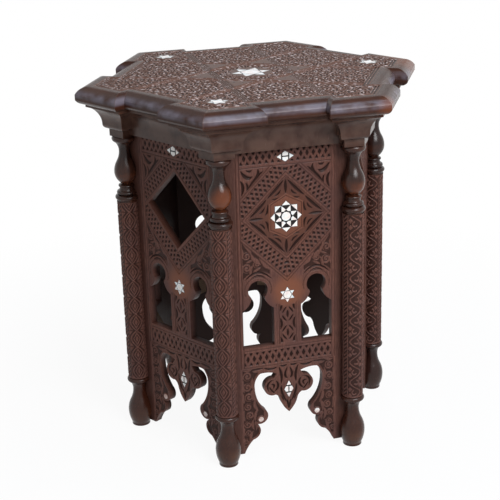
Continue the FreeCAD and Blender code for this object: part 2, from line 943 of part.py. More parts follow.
def top_stars():
    """Center, radius and first angle of each star in the top."""
    stars = [((ZERO, ZERO), D.center_star_radius, 0.0)]
    for column in range(0, SIDES, 2):
        angle = FIRST_COLUMN_ANGLE + TURN * column
        stars.append((polar((ZERO, ZERO), D.corner_star_place, angle), D.corner_star_radius, angle))
    return stars


def screw_places():
    places = []
    for column in range(SIDES):
        angle = FIRST_COLUMN_ANGLE + TURN * column
        places.append(polar((ZERO, ZERO), D.column_circle - D.block_screw_offset, angle))
    for x_sign in (1, -1):
        for y_sign in (1, -1):
            places.append((D.batten_screw_offset * x_sign, D.batten_offset * y_sign))
    return places


def top_fields():
    """Outlines of the sunk fields on the top: a hexagon, a strip to each side and a kite in each corner."""
    inner = D.strap_apothem - D.strap_half_width
    outer = D.strap_apothem + D.strap_half_width
    strip_end = recess_nose_apothem - D.nosing_width - D.border_width
    corner_end = D.nose_apothem - D.nosing_width - D.border_width
    return_end = field_return + D.border_width
    shoulder = (outer + inner * SIN_HALF) / COS_HALF
    strip = [
        (outer / COS_HALF, ZERO),
        (shoulder, inner),
        (strip_end, inner),
        (strip_end, -inner),
        (shoulder, -inner),
    ]
    lower = []
    for out, along in ((strip_end, outer), (strip_end, return_end), (corner_end, return_end)):
        lower.append((out * COS_HALF + along * SIN_HALF, along * COS_HALF - out * SIN_HALF))
    upper = [(x, -y) for x, y in reversed(lower)]
    kite = [(outer / SIN_HALF, ZERO), *lower, (corner_end / COS_HALF, ZERO), *upper]
    fields = [[polar((ZERO, ZERO), inner / COS_HALF, TURN * k + TURN / 2) for k in range(SIDES)]]
    for k in range(SIDES):
        fields.append(turned(strip, TURN * k + TURN / 2))
        fields.append(turned(kite, TURN * k))
    return fields


def build_top(label):
    body = new_body(label)
    field_offset = nose_offset - D.nosing_width
    field_end = half_side - field_return
    outline = []
    for column in range(SIDES):
        corner = [
            on_side(field_offset - D.recess_depth, field_end, -1),
            on_side(field_offset, field_end, -1),
            (field_offset / COS_HALF, ZERO),
            on_side(field_offset, field_end, 1),
            on_side(field_offset - D.recess_depth, field_end, 1),
        ]
        placed = [(x + D.column_circle, y) for x, y in corner]
        outline += turned(placed, FIRST_COLUMN_ANGLE + TURN * column)
    pad(body, sketch_on(body, "XY_Plane", [outline], height=board_bottom), D.top_thickness)
    seats = [star(*place[:2], SMALL_STAR_POINTS, SMALL_STAR_WAIST_SHARE, place[2]) for place in top_stars()]
    pocket(body, sketch_on(body, "XY_Plane", seats, height=D.table_height), D.inlay_thickness)
    islands = [(center, radius + D.star_margin) for center, radius, _ in top_stars()]
    fields = sketch_on(body, "XY_Plane", top_fields(), islands, height=D.table_height)
    pocket(body, fields, D.top_field_depth)
    bores = [(place, D.screw_radius) for place in screw_places()]
    pilots = sketch_on(body, "XY_Plane", [], bores, height=board_bottom)
    pocket(body, pilots, D.screw_bite, backward=True)
    return body


def build_corner_block(label, bottom, height, bored):
    """A three-cornered block in the angle behind a column."""
    body = new_body(label)
    plan = [
        (inner_offset / COS_HALF, ZERO),
        on_side(inner_offset, D.block_reach, 1),
        on_side(inner_offset, D.block_reach, -1),
    ]
    pad(body, sketch_on(body, "XY_Plane", [plan], height=bottom), height)
    if bored:
        bore = [((-D.block_screw_offset, ZERO), D.screw_radius)]
        pocket(body, sketch_on(body, "XY_Plane", [], bore, height=bottom), height, backward=True)
    return body


def build_batten(label, sign):
    box = doc.addObject("Part::Box", f"{label}_board")
    middle = D.batten_offset * sign
    for name, size in (("Length", D.batten_length), ("Width", D.batten_width), ("Height", D.block_height)):
        box.setExpression(name, size.text)
    box.setExpression("Placement.Base.x", (-D.batten_length / 2).text)
    box.setExpression("Placement.Base.y", (middle - D.batten_width / 2).text)
    box.setExpression("Placement.Base.z", block_bottom.text)
    bores = []
    for x_sign in (1, -1):
        bore = doc.addObject("Part::Cylinder", f"{label}_bore")
        bore.setExpression("Radius", D.screw_radius.text)
        bore.setExpression("Height", D.block_height.text)
        bore.setExpression("Placement.Base.x", (D.batten_screw_offset * x_sign).text)
        bore.setExpression("Placement.Base.y", middle.text)
        bore.setExpression("Placement.Base.z", block_bottom.text)
        bores.append(bore)
    cut = doc.addObject("Part::Cut", label)
    cut.Label = label
    cut.Base = box
    cut.Tool = group(f"{label}_bores", bores)
    return cut


def build_screw(label, place):
    body = new_body(label)
    top = D.block_height + D.screw_bite
    outline = [
        (ZERO, -D.screw_head_height),
        (D.screw_head_radius, -D.screw_head_height),
        (D.screw_head_radius, ZERO),
        (D.screw_radius, ZERO),
        (D.screw_radius, top),
        (ZERO, top),
    ]
    profile = sketch_on(body, "XZ_Plane", [outline])
    turned = body.newObject("PartDesign::Revolution", f"{label}_turning")
    turned.Profile = profile
    turned.ReferenceAxis = (profile, ["V_Axis"])
    turned.Angle = 360.0
    profile.Visibility = False
    body.setExpression("Placement.Base.x", place[0].text)
    body.setExpression("Placement.Base.y", place[1].text)
    body.setExpression("Placement.Base.z", block_bottom.text)
    return body


nodes = [build_top("top_board")]
corner_blocks = []
glue_blocks = []
for k in range(SIDES):
    number = k + 1
    starred = k % 2 == 0
    column = build_column(f"column_{number}")
    capital = build_capital(f"capital_block_{number}")
    rail = build_rail(f"frieze_rail_{number}")
    recess = build_recess_nosing(f"recess_nosing_{number}")
    panel = build_panel(f"{'star' if starred else 'open'}_panel_{number}", starred)
    pearl = build_pearl(f"panel_pearl_{number}", starred)
    ground = build_ground(f"panel_ground_{number}", starred)
    corner_block = build_corner_block(f"corner_block_{number}", block_bottom, D.block_height, True)
    glue_block = build_corner_block(f"glue_block_{number}", D.apron_level, D.glue_block_height, False)
    for piece in (column, capital, corner_block, glue_block):
        at_column(piece, k)
    for piece in (rail, recess, panel, pearl, ground):
        at_side(piece, k)
    corner_blocks.append(corner_block)
    glue_blocks.append(glue_block)
    nosings = build_nosings(f"corner_nosing_{number}", k)
    ebony = build_ebony(f"panel_ebony_{number}", ground, pearl)
    nodes += [column, capital, rail, recess, panel, pearl, ebony, nosings]

star_pearl = new_body("top_star_pearl")
star_pieces = []
for center, radius, first in top_stars():
    star_pieces += small_star_pieces(center, radius, first)
seat_level = D.table_height - D.inlay_thickness
pad(star_pearl, sketch_on(star_pearl, "XY_Plane", star_pieces, height=seat_level), D.inlay_thickness)
star_ground = new_body("top_star_ground")
star_seats = [
    star(center, radius, SMALL_STAR_POINTS, SMALL_STAR_WAIST_SHARE, first)
    for center, radius, first in top_stars()
]
pad(star_ground, sketch_on(star_ground, "XY_Plane", star_seats, height=seat_level), D.inlay_thickness)
screws = [build_screw(f"screw_{n}", place) for n, place in enumerate(screw_places(), start=1)]
nodes += [
    star_pearl,
    build_ebony("top_star_ebony", star_ground, star_pearl),
    group("top_corner_blocks", corner_blocks),
    group("side_glue_blocks", glue_blocks),
    build_batten("top_batten_1", 1),
    build_batten("top_batten_2", -1),
    group("top_screws", screws),
]

doc.recompute()
for item in doc.Objects:
    if "Invalid" in item.State or "Error" in item.State:
        raise RuntimeError(f"{item.Label} did not compute: {item.State}")
os.makedirs("parts", exist_ok=True)
for node in nodes:
    if node.Shape.isNull() or not node.Shape.isValid() or not node.Shape.Solids:
        raise RuntimeError(f"{node.Label} has no valid solid")
    node.Shape.exportStep(f"parts/{node.Label}.step")
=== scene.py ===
import json
import math

import bpy
import numpy as np
from mathutils import Matrix, Vector


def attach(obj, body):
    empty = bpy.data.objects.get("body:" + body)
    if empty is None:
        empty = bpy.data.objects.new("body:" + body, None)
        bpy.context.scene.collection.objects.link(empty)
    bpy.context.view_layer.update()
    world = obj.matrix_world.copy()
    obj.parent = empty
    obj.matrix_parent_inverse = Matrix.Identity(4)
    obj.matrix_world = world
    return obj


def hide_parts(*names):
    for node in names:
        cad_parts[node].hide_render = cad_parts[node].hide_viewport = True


# Looks of the hexagonal side table. Carving is worked in millimetres, Blender's objects are in metres.
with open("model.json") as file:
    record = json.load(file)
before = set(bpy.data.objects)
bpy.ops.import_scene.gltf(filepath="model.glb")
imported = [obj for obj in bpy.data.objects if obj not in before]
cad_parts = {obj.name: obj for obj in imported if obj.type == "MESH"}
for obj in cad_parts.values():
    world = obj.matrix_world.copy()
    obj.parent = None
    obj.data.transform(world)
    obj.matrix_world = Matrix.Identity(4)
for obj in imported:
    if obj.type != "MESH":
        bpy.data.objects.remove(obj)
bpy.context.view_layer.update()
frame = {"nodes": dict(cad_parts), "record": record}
nodes = frame["nodes"]

MM = 0.001
SIDES = 6
TURN = math.tau / SIDES
STAR_SIDES = (1, 3, 5)
FIRST_COLUMN_ANGLE = math.radians(240)

# Places on a panel: across from its middle, and up from the floor
FIELD_HALF_WIDTH = 69.0
FRAME_WIDTH = 5.0
FRAME_LEVEL = 460.0
FRAME_OVERRUN = 4.0
DIAMOND_LEVEL = 382.5
DIAMOND_INNER = 60.5
BAND_INNER = 68.0
BAND_OUTER = 94.0
BAND_EDGE = 101.5
STRIP = (464.5, 484.0)
RAIL = (153.0, 174.0)
SILL = 182.0
APRON_TOP = 147.5
APRON_HALF_WIDTH = 72.0
MULLION_HALF_WIDTH = 12.0
MULLION_LEVELS = (199.5, 229.5)
MULLION_PERIOD = 30.0
MULLION_OVERRUN = 3.0
KEYHOLE_HEAD = (45.0, 273.2)
ARCH_RADII = (19.5, 29.0)
ARCH_FOOT = 8.0
CARTOUCHE = (26.0, 34.0, 20.0)
BRACKET_FROM = 40.0
SPANDREL_FROM = 26.0

# Inlay: middle across and up, then half sizes or radius
CREST = (0.0, 472.5, 13.0, 8.0)
PENDANT = (0.0, 106.0, 7.5, 14.0)
MULLION_STAR = (0.0, 260.5, 12.5)
GREAT_STAR = (0.0, 382.5, 24.0)
DOTS = ((-45.0, 61.5, 4.0), (45.0, 61.5, 4.0))
SMALL_STAR_POINTS = 6
GREAT_STAR_POINTS = 8

# Depths of the carving, and depths that stand for painted shade on the back, the stiles and the shafts
PIT_DEPTH = 2.6
CUT_DEPTH = 2.8
LINE_DEPTH = 1.2
VINE_DEPTH = 1.6
FIELD_DEPTH = 0.4
DIAMOND_DEPTH = 0.9
SEAT_DEPTH = 1.0
BACK_SHADE = 1.7
STILE_SHADE = 1.1
SHAFT_SHADE = 1.6

# Grids, and the depths that tell the faces of a CAD node apart
PANEL_GRID = 0.82
STILE_GRID = 2.4
TOP_GRID = 0.9
SHAFT_GRID = 0.62
GRID_MARGIN = 1.0
FINE_MARGIN = 7.0
WALL_DEPTH = 3.2
FACE_DEPTH = 0.02

# Room left plain beside the carved fields
FIELD_ROOM = 1.5
RAIL_ROOM = 1.0
FRAME_ROOM = 2.0
DOT_ROOM = 2.0
LOZENGE_ROOM_SHARE = 1.4

# Fine lines: half widths, and distances from the edges that they follow
LINE_HALF_WIDTH = 0.9
LINE_CORE_SHARE = 0.4
BAND_LINE_HALF_WIDTH = 1.3
BAND_LINE_GAP = 1.0
RAIL_LINE_GAP = 3.5
ARCH_LINE_GAP = 1.0
MULLION_LINE_GAPS = (1.2, 5.5)
PLATE_LINE_GAP = 2.4

# Distances from an edge at which a cut or a painted shade begins and is whole
WALL_FADE = (3.0, 3.8)
APRON_FADE = (2.2, 3.2)
DIAMOND_FADE = (0.3, 1.5)
PLATE_FADE = (0.3, -0.5)
PALMETTE_FADE = (0.0, -0.8)
STILE_FADE = (-5.0, 2.0)

# Lattices: pitch along the rows and distance of the rows
STRIP_LATTICE = (9.4, 9.0)
RAIL_LATTICE = (9.7, 10.5)
BAND_LATTICE = (8.2, 6.1)
LATTICE_RIB_SHARES = (0.19, 0.29)

# Almond cuts, winding stems and whorls of leaves
GOUGE_STEPS = 7
GOUGE_TIP_SHARE = 0.03
GOUGE_FULLNESS = 0.6
STEM_PITCH_SHARE = 0.60
STEM_RIB_SHARES = (0.37, 0.25)
STEM_END_SHARE = 0.9
VINE_EDGE_SHARES = (0.15, 0.55)
WHORL_REACH_SHARES = (0.25, 0.75, 1.0)
WHORL_TWISTS = (0.0, 0.45, 1.15)
WHORL_RADIUS_SHARE = 0.56
WHORL_ROW_TURN = 0.9
WHORL_COLUMN_TURN = 1.7
PETAL_WIDTH_SHARE = 0.25

# Cuts of the leaves on the right half of a panel: start, bend, end and half width
CORNER_CUTS = (
    ((33, 454), (46, 444), (57, 428), 2.3),
    ((66, 456), (57, 441), (50, 447), 3.4),
    ((41, 457), (38, 448), (47, 442), 2.6),
    ((67, 442), (60, 434), (66, 420), 2.5),
    ((59, 439), (55, 434), (58, 427), 1.7),
    ((50, 457), (53, 453), (58, 457), 1.6),
)
ARCH_CUTS = (
    ((65, 290), (45, 312), (25, 290), 2.1),
    ((56, 292), (45, 300), (34, 292), 1.3),
)
PENDANT_CUTS = (
    ((2, 124), (9, 128), (2, 142), 2.1),
    ((12, 117), (9, 130), (15, 144), 2.3),
    ((32, 106), (38, 124), (21, 125), 2.1),
    ((20, 122), (12, 113), (23, 104), 2.1),
    ((28, 117), (20, 117), (25, 109), 1.9),
    ((12, 113), (13, 100), (4, 85), 2.2),
    ((3, 88), (1.6, 82), (0.4, 73), 1.6),
    ((17, 99), (12, 95), (8, 87), 1.5),
    ((18, 145), (28, 140), (38, 146), 1.9),
    ((3, 147), (8, 143), (13, 147), 1.6),
    ((31, 113), (27, 106), (22, 101), 1.3),
)
# Cuts of half a split leaf: outwards and aside from the middle of the diamond
PALMETTE_CUTS = (
    ((55, 0), (46, 0.4), (35, 0), 2.5),
    ((54, 3.8), (40, 16), (30, 27), 3.0),
    ((31, 5), (26, 9), (27, 20), 2.2),
    ((40, 8), (34, 10), (32, 17), 1.7),
)
# Cuts of a lozenge on the mullion, from its middle: the almond, then those of the upper right quarter
MULLION_ALMOND = ((0, -6), (0, 0), (0, 6), 2.2)
MULLION_CUTS = (
    ((8.5, 1.5), (6, 7), (1.5, 11.5), 1.6),
    ((11.5, 6), (7.5, 15), (11.5, 20), 2.2),
)
# Standing leaves and winding stems on the right half of a panel; a stem has its middle, radius and hand
BRACKET_LEAVES = (
    ((38, 145), (46, 140), (57, 143), 2.6),
    ((58, 147), (63, 144), (72, 146), 2.0),
    ((71, 130), (75, 121), (70, 110), 2.6),
    ((57, 132), (60, 122), (55, 112), 2.8),
    ((57, 113), (61, 104), (53, 93), 2.9),
    ((71, 108), (75, 99), (70, 92), 2.5),
    ((54, 95), (57, 86), (49, 76), 2.9),
    ((71, 80), (75, 71), (70, 62), 2.5),
    ((50, 79), (56, 70), (54, 59), 2.7),
    ((57, 63), (61, 54), (56, 45), 2.6),
    ((71, 50), (75, 43), (71, 36), 2.2),
    ((58, 43), (64, 34), (62, 22), 2.5),
    ((64, 27), (67, 20), (67, 12), 2.0),
    ((58, 95), (55, 100), (58, 107), 1.5),
    ((54, 55), (51, 50), (53, 44), 1.8),
)
BRACKET_STEMS = (
    (65, 136, 7.6, 1), (65, 118, 7.2, -1), (63, 101, 7.4, 1), (65, 85, 6.4, -1), (62, 70, 6.8, 1),
    (66, 55, 6.2, -1), (65, 40, 5.8, 1), (70, 27, 5.2, -1), (71, 16, 4.0, 1),
)
SPANDREL_LEAVES = (
    ((67, 349), (57, 341), (54, 329), 2.8),
    ((69, 342), (65, 332), (70, 322), 2.4),
    ((54, 331), (52, 319), (40, 313), 2.9),
    ((70, 319), (66, 308), (70, 298), 2.4),
    ((42, 324), (35, 312), (24, 302), 2.9),
    ((52, 313), (57, 305), (55, 296), 2.4),
    ((37, 313), (34, 308), (27, 305), 2.0),
    ((48, 324), (47, 320), (41, 318), 1.9),
    ((53, 322), (57, 318), (62, 318), 1.9),
    ((40, 308), (47, 305), (52, 301), 2.0),
)
SPANDREL_STEMS = ((61, 309, 7.6, 1), (61, 328, 6.6, -1), (46, 314, 6.0, 1))

# The top: straps round a hexagon, a border and stars
STRAP_APOTHEM = 56.0
STRAP_HALF_WIDTH = 5.0
STRAP_LINE_GAP = 3.2
STRAP_LINE_HALF_WIDTH = 1.3
STRAP_ROOM = 1.5
BORDER_WIDTH = 8.0
BORDER_LINE_GAP = 4.0
BORDER_LINE_HALF_WIDTH = 2.0
BORDER_ROOM = 2.0
CENTER_STAR_RADIUS = 30.5
CORNER_STAR_RADIUS = 15.5
CORNER_STAR_PLACE = 190.4
STAR_ROOM = 2.5
TOP_DEPTH = 2.0
TOP_SPACING = 17.0
TOP_LINE_DEPTH = 1.6

# The shafts: sleeves with strips of ornament between twisted cords
SHAFT_LOW = 85.0
SHAFT_HIGH = 380.0
SHAFT_GROUND = 15.05
SHAFT_RELIEF = 1.1
SHAFT_STRIPS = 3
SHAFT_SHIFTS = (0.0, -0.29)
SHAFT_END_FADE = (1.0, 2.0)
SLEEVE_HALF_ANGLE = math.radians(160)
COLUMN_CIRCLE = 200.0
CORD_HALF_WIDTH = 2.5
CORD_PERIOD = 6.4
CORD_GROOVE_SHARES = (0.34, 0.20)
CORD_LINE_GAP = 0.6
CORD_LINE_HALF_WIDTH = 0.8
FILLET = 2.2
FILLET_FADE = (0.3, -0.5)
STANDING_FADE = (0.35, -0.35)
RIBBON_HALF_WIDTH = 1.25

# Knots: half width, half height and slope of the leaf, the ring and the split leaf
KNOT_PERIOD = 28.0
KNOT_SWING_SHARE = 0.80
KNOT_LEAF = (2.6, 5.4, 2.2)
KNOT_RING = (5.6, 9.6, 4.6)
KNOT_RING_HALF_WIDTH = 0.9
SPLIT_LEAF = (6.4, 8.0, 4.0)
SPLIT_HALF_WIDTH = 0.7

# Scrolls: a curl open on one bearing, and a leaf's half width, half height and slope
SCROLL_PERIOD = 34.0
SCROLL_SWING_SHARE = 0.72
CURL_PLACE_SHARE = 0.14
CURL_RADIUS = 3.6
CURL_HALF_WIDTH = 1.1
CURL_OPENING = 0.6
CURL_OPENING_HALF = 1.1
CURL_OPENING_SLOPE = 3.0
TIP_LEAF = (3.6, 4.2, 2.6)
TIP_PLACE_SHARE = 0.70
TIP_LIFT = 5.2


def points_of(node):
    """Vertices of a CAD node in millimetres."""
    data = nodes[node].data
    flat = np.empty(len(data.vertices) * 3)
    data.vertices.foreach_get("co", flat)
    return flat.reshape(-1, 3) / MM


def ramp_up(low, high, value):
    """Smooth step from zero at low to one at high, which may be the smaller of the two."""
    share = np.clip((value - low) / (high - low), 0, 1)
    return share * share * (3 - 2 * share)


def line_at(place, value, half_width=LINE_HALF_WIDTH):
    """One on the line where a value reaches a place, and zero beside it."""
    return ramp_up(half_width, half_width * LINE_CORE_SHARE, np.abs(value - place))


def off_whole(value):
    """Distance from the nearest whole number."""
    return np.abs(value - np.round(value))


def segment_distance(x, y, start, end):
    """Distance of each place from a straight line, and how far along the line its nearest point is."""
    dx, dy = end[0] - start[0], end[1] - start[1]
    share = np.clip(((x - start[0]) * dx + (y - start[1]) * dy) / (dx * dx + dy * dy), 0, 1)
    return np.hypot(x - start[0] - share * dx, y - start[1] - share * dy), share


def edge_distance(x, y, segments):
    """Signed distance from an outline given as loose segments, positive inside."""
    inside = np.zeros(x.shape, bool)
    nearest = np.full(x.shape, np.inf)
    for (ax, ay), (bx, by) in segments:
        distance, _ = segment_distance(x, y, (ax, ay), (bx, by))
        np.minimum(nearest, distance, out=nearest)
        if ay != by:
            crosses = (ay > y) != (by > y)
            inside ^= crosses & (x < ax + (y - ay) / (by - ay) * (bx - ax))
    return np.where(inside, nearest, -nearest)


class Carving:
    """Depth of the cuts over a grid of places, u across and v up."""

    def __init__(self, x, y):
        self.x = x
        self.y = y
        self.u, self.v = np.meshgrid(x, y)
        self.depth = np.zeros(self.u.shape)

    def cut(self, depth):
        np.maximum(self.depth, depth, out=self.depth)

    def gouge(self, start, bend, end, half_width, depth, mask):
        """An almond-shaped cut along a line that bends towards a point."""
        share = np.linspace(0, 1, GOUGE_STEPS)[:, None]
        start, bend, end = np.array(start), np.array(bend), np.array(end)
        line = start * (1 - share) ** 2 + 2 * bend * share * (1 - share) + end * share ** 2
        low, high = line.min(0) - half_width, line.max(0) + half_width
        rows = np.searchsorted(self.y, (low[1], high[1]))
        columns = np.searchsorted(self.x, (low[0], high[0]))
        place = (slice(*rows), slice(*columns))
        u, v = self.u[place], self.v[place]
        if not u.size or not mask[place].any():
            return
        nearest = np.full(u.shape, np.inf)
        along = np.zeros(u.shape)
        for k in range(len(line) - 1):
            distance, part = segment_distance(u, v, line[k], line[k + 1])
            closer = distance < nearest
            nearest = np.where(closer, distance, nearest)
            along = np.where(closer, (k + part) / (len(line) - 1), along)
        along = along.clip(GOUGE_TIP_SHARE, 1 - GOUGE_TIP_SHARE)
        width = half_width * np.sin(math.pi * along) ** GOUGE_FULLNESS
        hollow = np.sqrt(np.clip(1 - nearest / width, 0, 1))
        self.depth[place] = np.maximum(self.depth[place], depth * hollow * mask[place])

    def leaf_cuts(self, cuts, depth, mask):
        """Cuts of one half of a panel, and their mirror image."""
        for sign in (1, -1):
            for start, bend, end, half_width in cuts:
                line = [(sign * x, y) for x, y in (start, bend, end)]
                self.gouge(*line, half_width, depth, mask)

    def stems(self, places):
        """Ribs that wind inwards like the ends of a vine, on both halves of a panel."""
        for x, y, radius, hand in places:
            for sign in (1, -1):
                away = np.hypot(self.u - sign * x, self.v - y)
                bearing = sign * hand * np.arctan2(self.v - y, self.u - sign * x)
                phase = away / (radius * STEM_PITCH_SHARE) + bearing / math.tau
                rib = ramp_up(*STEM_RIB_SHARES, off_whole(phase))
                self.cut(rib * ramp_up(radius, radius * STEM_END_SHARE, away))

    def vine(self, leaves, stems, depth, mask):
        """Standing leaves and stems on a sunk ground."""
        shape = Carving(self.x, self.y)
        shape.leaf_cuts(leaves, 1.0, mask)
        shape.stems(stems)
        self.cut(depth * mask * (1 - ramp_up(*VINE_EDGE_SHARES, shape.depth)))

    def whorl(self, center, radius, petals, hand, turn, depth, mask):
        """Bent cuts round a middle, as in carved foliage."""
        for petal in range(petals):
            line = []
            for share, twist in zip(WHORL_REACH_SHARES, WHORL_TWISTS):
                bearing = turn + math.tau * petal / petals + hand * twist
                reach = radius * share
                line.append((center[0] + reach * math.cos(bearing), center[1] + reach * math.sin(bearing)))
            self.gouge(*line, radius * PETAL_WIDTH_SHARE, depth, mask)

    def foliage(self, spacing, depth, mask):
        """Whorls in staggered rows over the masked places."""
        rows, columns = np.nonzero(mask)
        low_u, high_u = self.x[columns.min()], self.x[columns.max()]
        low_v, high_v = self.y[rows.min()], self.y[rows.max()]
        row_height = spacing * math.sqrt(3) / 2
        for row in range(int((high_v - low_v) / row_height) + 2):
            for column in range(int((high_u - low_u) / spacing) + 2):
                center = (low_u + (column + 0.5 * (row % 2)) * spacing, low_v + row * row_height)
                hand = 1 if (row + column) % 2 else -1
                turn = WHORL_ROW_TURN * row + WHORL_COLUMN_TURN * column
                self.whorl(center, spacing * WHORL_RADIUS_SHARE, SIDES, hand, turn, depth, mask)

    def lattice(self, along, across, pitch, row, mask):
        """Staggered pits between crossed ribs."""
        rising = along / pitch + across / (2 * row)
        falling = along / pitch - across / (2 * row)
        pit = ramp_up(*LATTICE_RIB_SHARES, np.minimum(off_whole(rising), off_whole(falling)))
        self.cut(mask * (FIELD_DEPTH + (PIT_DEPTH - FIELD_DEPTH) * pit))


def lozenge_measure(u, v, lozenge):
    """Below one inside the lozenge."""
    x, y, half_width, half_height = lozenge
    return np.abs(u - x) / half_width + np.abs(v - y) / half_height


def star_mask(u, v, star, points, first):
    """True inside a star whose every point is joined to the next but one."""
    x, y, radius = star
    outside = np.zeros(u.shape, int)
    for point in range(points):
        angle = first + math.tau * point / points
        reach = (u - x) * math.cos(angle) + (v - y) * math.sin(angle)
        outside += reach > radius * math.cos(math.tau / points)
    return outside <= 1


def cut_frames(carving, wide, diamond, clear):
    """Fine lines beside the fields."""
    v = carving.v
    field = wide < FIELD_HALF_WIDTH
    above = v > RAIL[0] - FRAME_OVERRUN
    for place in (FIELD_HALF_WIDTH, FIELD_HALF_WIDTH + FRAME_WIDTH):
        carving.cut(LINE_DEPTH * line_at(place, wide) * above)
    carving.cut(LINE_DEPTH * line_at(FRAME_LEVEL, v) * field)
    for place in (RAIL[0] - RAIL_LINE_GAP, RAIL[1] + RAIL_LINE_GAP):
        carving.cut(LINE_DEPTH * line_at(place, v) * field * clear)
    for low, high in ((DIAMOND_INNER, BAND_INNER), (BAND_OUTER, BAND_EDGE)):
        for place in (low + BAND_LINE_GAP, high - BAND_LINE_GAP):
            line = line_at(place, diamond, BAND_LINE_HALF_WIDTH)
            carving.cut(LINE_DEPTH * line * clear * field * (v < FRAME_LEVEL))


def cut_lattices(carving, wide, diamond, clear):
    """Crossed ribs in the strip under the frieze, the rail over the apron and the band round the diamond."""
    u, v = carving.u, carving.v
    field = clear * (wide < FIELD_HALF_WIDTH - FIELD_ROOM)
    strip = field * (v > STRIP[0]) * (v < STRIP[1]) * (lozenge_measure(u, v, CREST) > LOZENGE_ROOM_SHARE)
    carving.lattice(u, v - sum(STRIP) / 2, *STRIP_LATTICE, strip)
    rail = clear * (wide < FIELD_HALF_WIDTH - RAIL_ROOM) * (v > RAIL[0]) * (v < RAIL[1])
    carving.lattice(u, v - sum(RAIL) / 2, *RAIL_LATTICE, rail)
    band = field * (diamond > BAND_INNER) * (diamond < BAND_OUTER) * (v < FRAME_LEVEL - FRAME_ROOM)
    along = (wide - np.abs(v - DIAMOND_LEVEL)) / math.sqrt(2)
    across = (diamond - (BAND_INNER + BAND_OUTER) / 2) / math.sqrt(2)
    carving.lattice(along, across, *BAND_LATTICE, band)


def cut_leaves(carving, wide, diamond, clear):
    """Leaves between the diamond, the frame and the heads of the keyholes."""
    v = carving.v
    corner = clear * (wide < FIELD_HALF_WIDTH - FIELD_ROOM) * (diamond > BAND_EDGE)
    upper = corner * (v > DIAMOND_LEVEL) * (v < FRAME_LEVEL - FRAME_ROOM)
    head = np.hypot(wide - KEYHOLE_HEAD[0], v - KEYHOLE_HEAD[1])
    lower = corner * (v < DIAMOND_LEVEL) * (head > ARCH_RADII[1]) * (v > KEYHOLE_HEAD[1])
    carving.cut(FIELD_DEPTH * np.maximum(upper, lower * (wide > KEYHOLE_HEAD[0] / 2)))
    carving.leaf_cuts(CORNER_CUTS, CUT_DEPTH, upper)
    carving.vine(SPANDREL_LEAVES, SPANDREL_STEMS, VINE_DEPTH, lower * (wide > SPANDREL_FROM))
    arch = corner * (v < DIAMOND_LEVEL) * (head > ARCH_RADII[0])
    carving.leaf_cuts(ARCH_CUTS, PIT_DEPTH, arch)
    line = line_at(ARCH_RADII[0] + ARCH_LINE_GAP, head)
    carving.cut(LINE_DEPTH * line * arch * (v > KEYHOLE_HEAD[1] - ARCH_FOOT))


def lifted(cut, level, sign):
    """A cut moved up to a level, upright or upside down."""
    *line, half_width = cut
    return (*[(x, level + sign * y) for x, y in line], half_width)


def cut_mullion(carving, wide, clear):
    """Straps in lozenges, each with an almond in the middle and slits and notches round it."""
    v = carving.v
    low, high = MULLION_LEVELS[0] - MULLION_PERIOD / 2, MULLION_LEVELS[-1] + MULLION_PERIOD / 2
    field = clear * (wide < MULLION_HALF_WIDTH) * (v > low) * (v < high)
    carving.cut(FIELD_DEPTH * field)
    for level in MULLION_LEVELS:
        cuts = [lifted(MULLION_ALMOND, level, 1)]
        cuts += [lifted(cut, level, sign) for sign in (1, -1) for cut in MULLION_CUTS]
        carving.leaf_cuts(cuts, PIT_DEPTH, field)
    sides = (v > SILL) * (v < high + MULLION_OVERRUN) * clear
    for gap in MULLION_LINE_GAPS:
        carving.cut(LINE_DEPTH * line_at(MULLION_HALF_WIDTH + gap, wide) * sides)


def cut_apron(carving, edge):
    """Scrolling leaves on the pendant and the brackets."""
    u, v = carving.u, carving.v
    field = (v < APRON_TOP) * (np.abs(u) < APRON_HALF_WIDTH) * ramp_up(*APRON_FADE, edge)
    for x, y, radius in DOTS:
        field = field * (np.hypot(u - x, v - y) > radius + DOT_ROOM)
    field = field * (lozenge_measure(u, v, PENDANT) > LOZENGE_ROOM_SHARE)
    carving.cut(FIELD_DEPTH * field)
    carving.leaf_cuts(PENDANT_CUTS, CUT_DEPTH, field)
    carving.vine(BRACKET_LEAVES, BRACKET_STEMS, VINE_DEPTH, field * (np.abs(u) > BRACKET_FROM))


def cut_diamond(carving, wide, diamond):
    """A sunk diamond with a standing cartouche and four split leaves."""
    up = np.abs(carving.v - DIAMOND_LEVEL)
    wide_half, tall_half, side_half = CARTOUCHE
    slope = (tall_half - side_half) / wide_half
    plate = np.minimum(wide_half - wide, (tall_half - up - wide * slope) / math.hypot(1, slope))
    inside = ramp_up(*DIAMOND_FADE, DIAMOND_INNER - diamond)
    carving.cut(inside * ramp_up(*PLATE_FADE, plate) * DIAMOND_DEPTH)
    leaves = inside * ramp_up(*PALMETTE_FADE, plate)
    for start, bend, end, half_width in PALMETTE_CUTS:
        for sign in (1, -1):
            for hand in (1, -1):
                sideways = [(sign * out, hand * aside) for out, aside in (start, bend, end)]
                upright = [(aside, out) for out, aside in sideways]
                for line in (sideways, upright):
                    line = [(x, y + DIAMOND_LEVEL) for x, y in line]
                    carving.gouge(*line, half_width, CUT_DEPTH, leaves)
    carving.cut(LINE_DEPTH * line_at(PLATE_LINE_GAP, plate) * inside)


def cut_seats(carving, starred):
    """Room for the inlay, so that it lies flush."""
    u, v = carving.u, carving.v
    seats = (lozenge_measure(u, v, CREST) < 1) | (lozenge_measure(u, v, PENDANT) < 1)
    seats |= star_mask(u, v, MULLION_STAR, SMALL_STAR_POINTS, math.pi / 2)
    if starred:
        seats |= star_mask(u, v, GREAT_STAR, GREAT_STAR_POINTS, math.pi / 2)
    for x, y, radius in DOTS:
        seats |= np.hypot(u - x, v - y) < radius
    carving.cut(SEAT_DEPTH * seats)


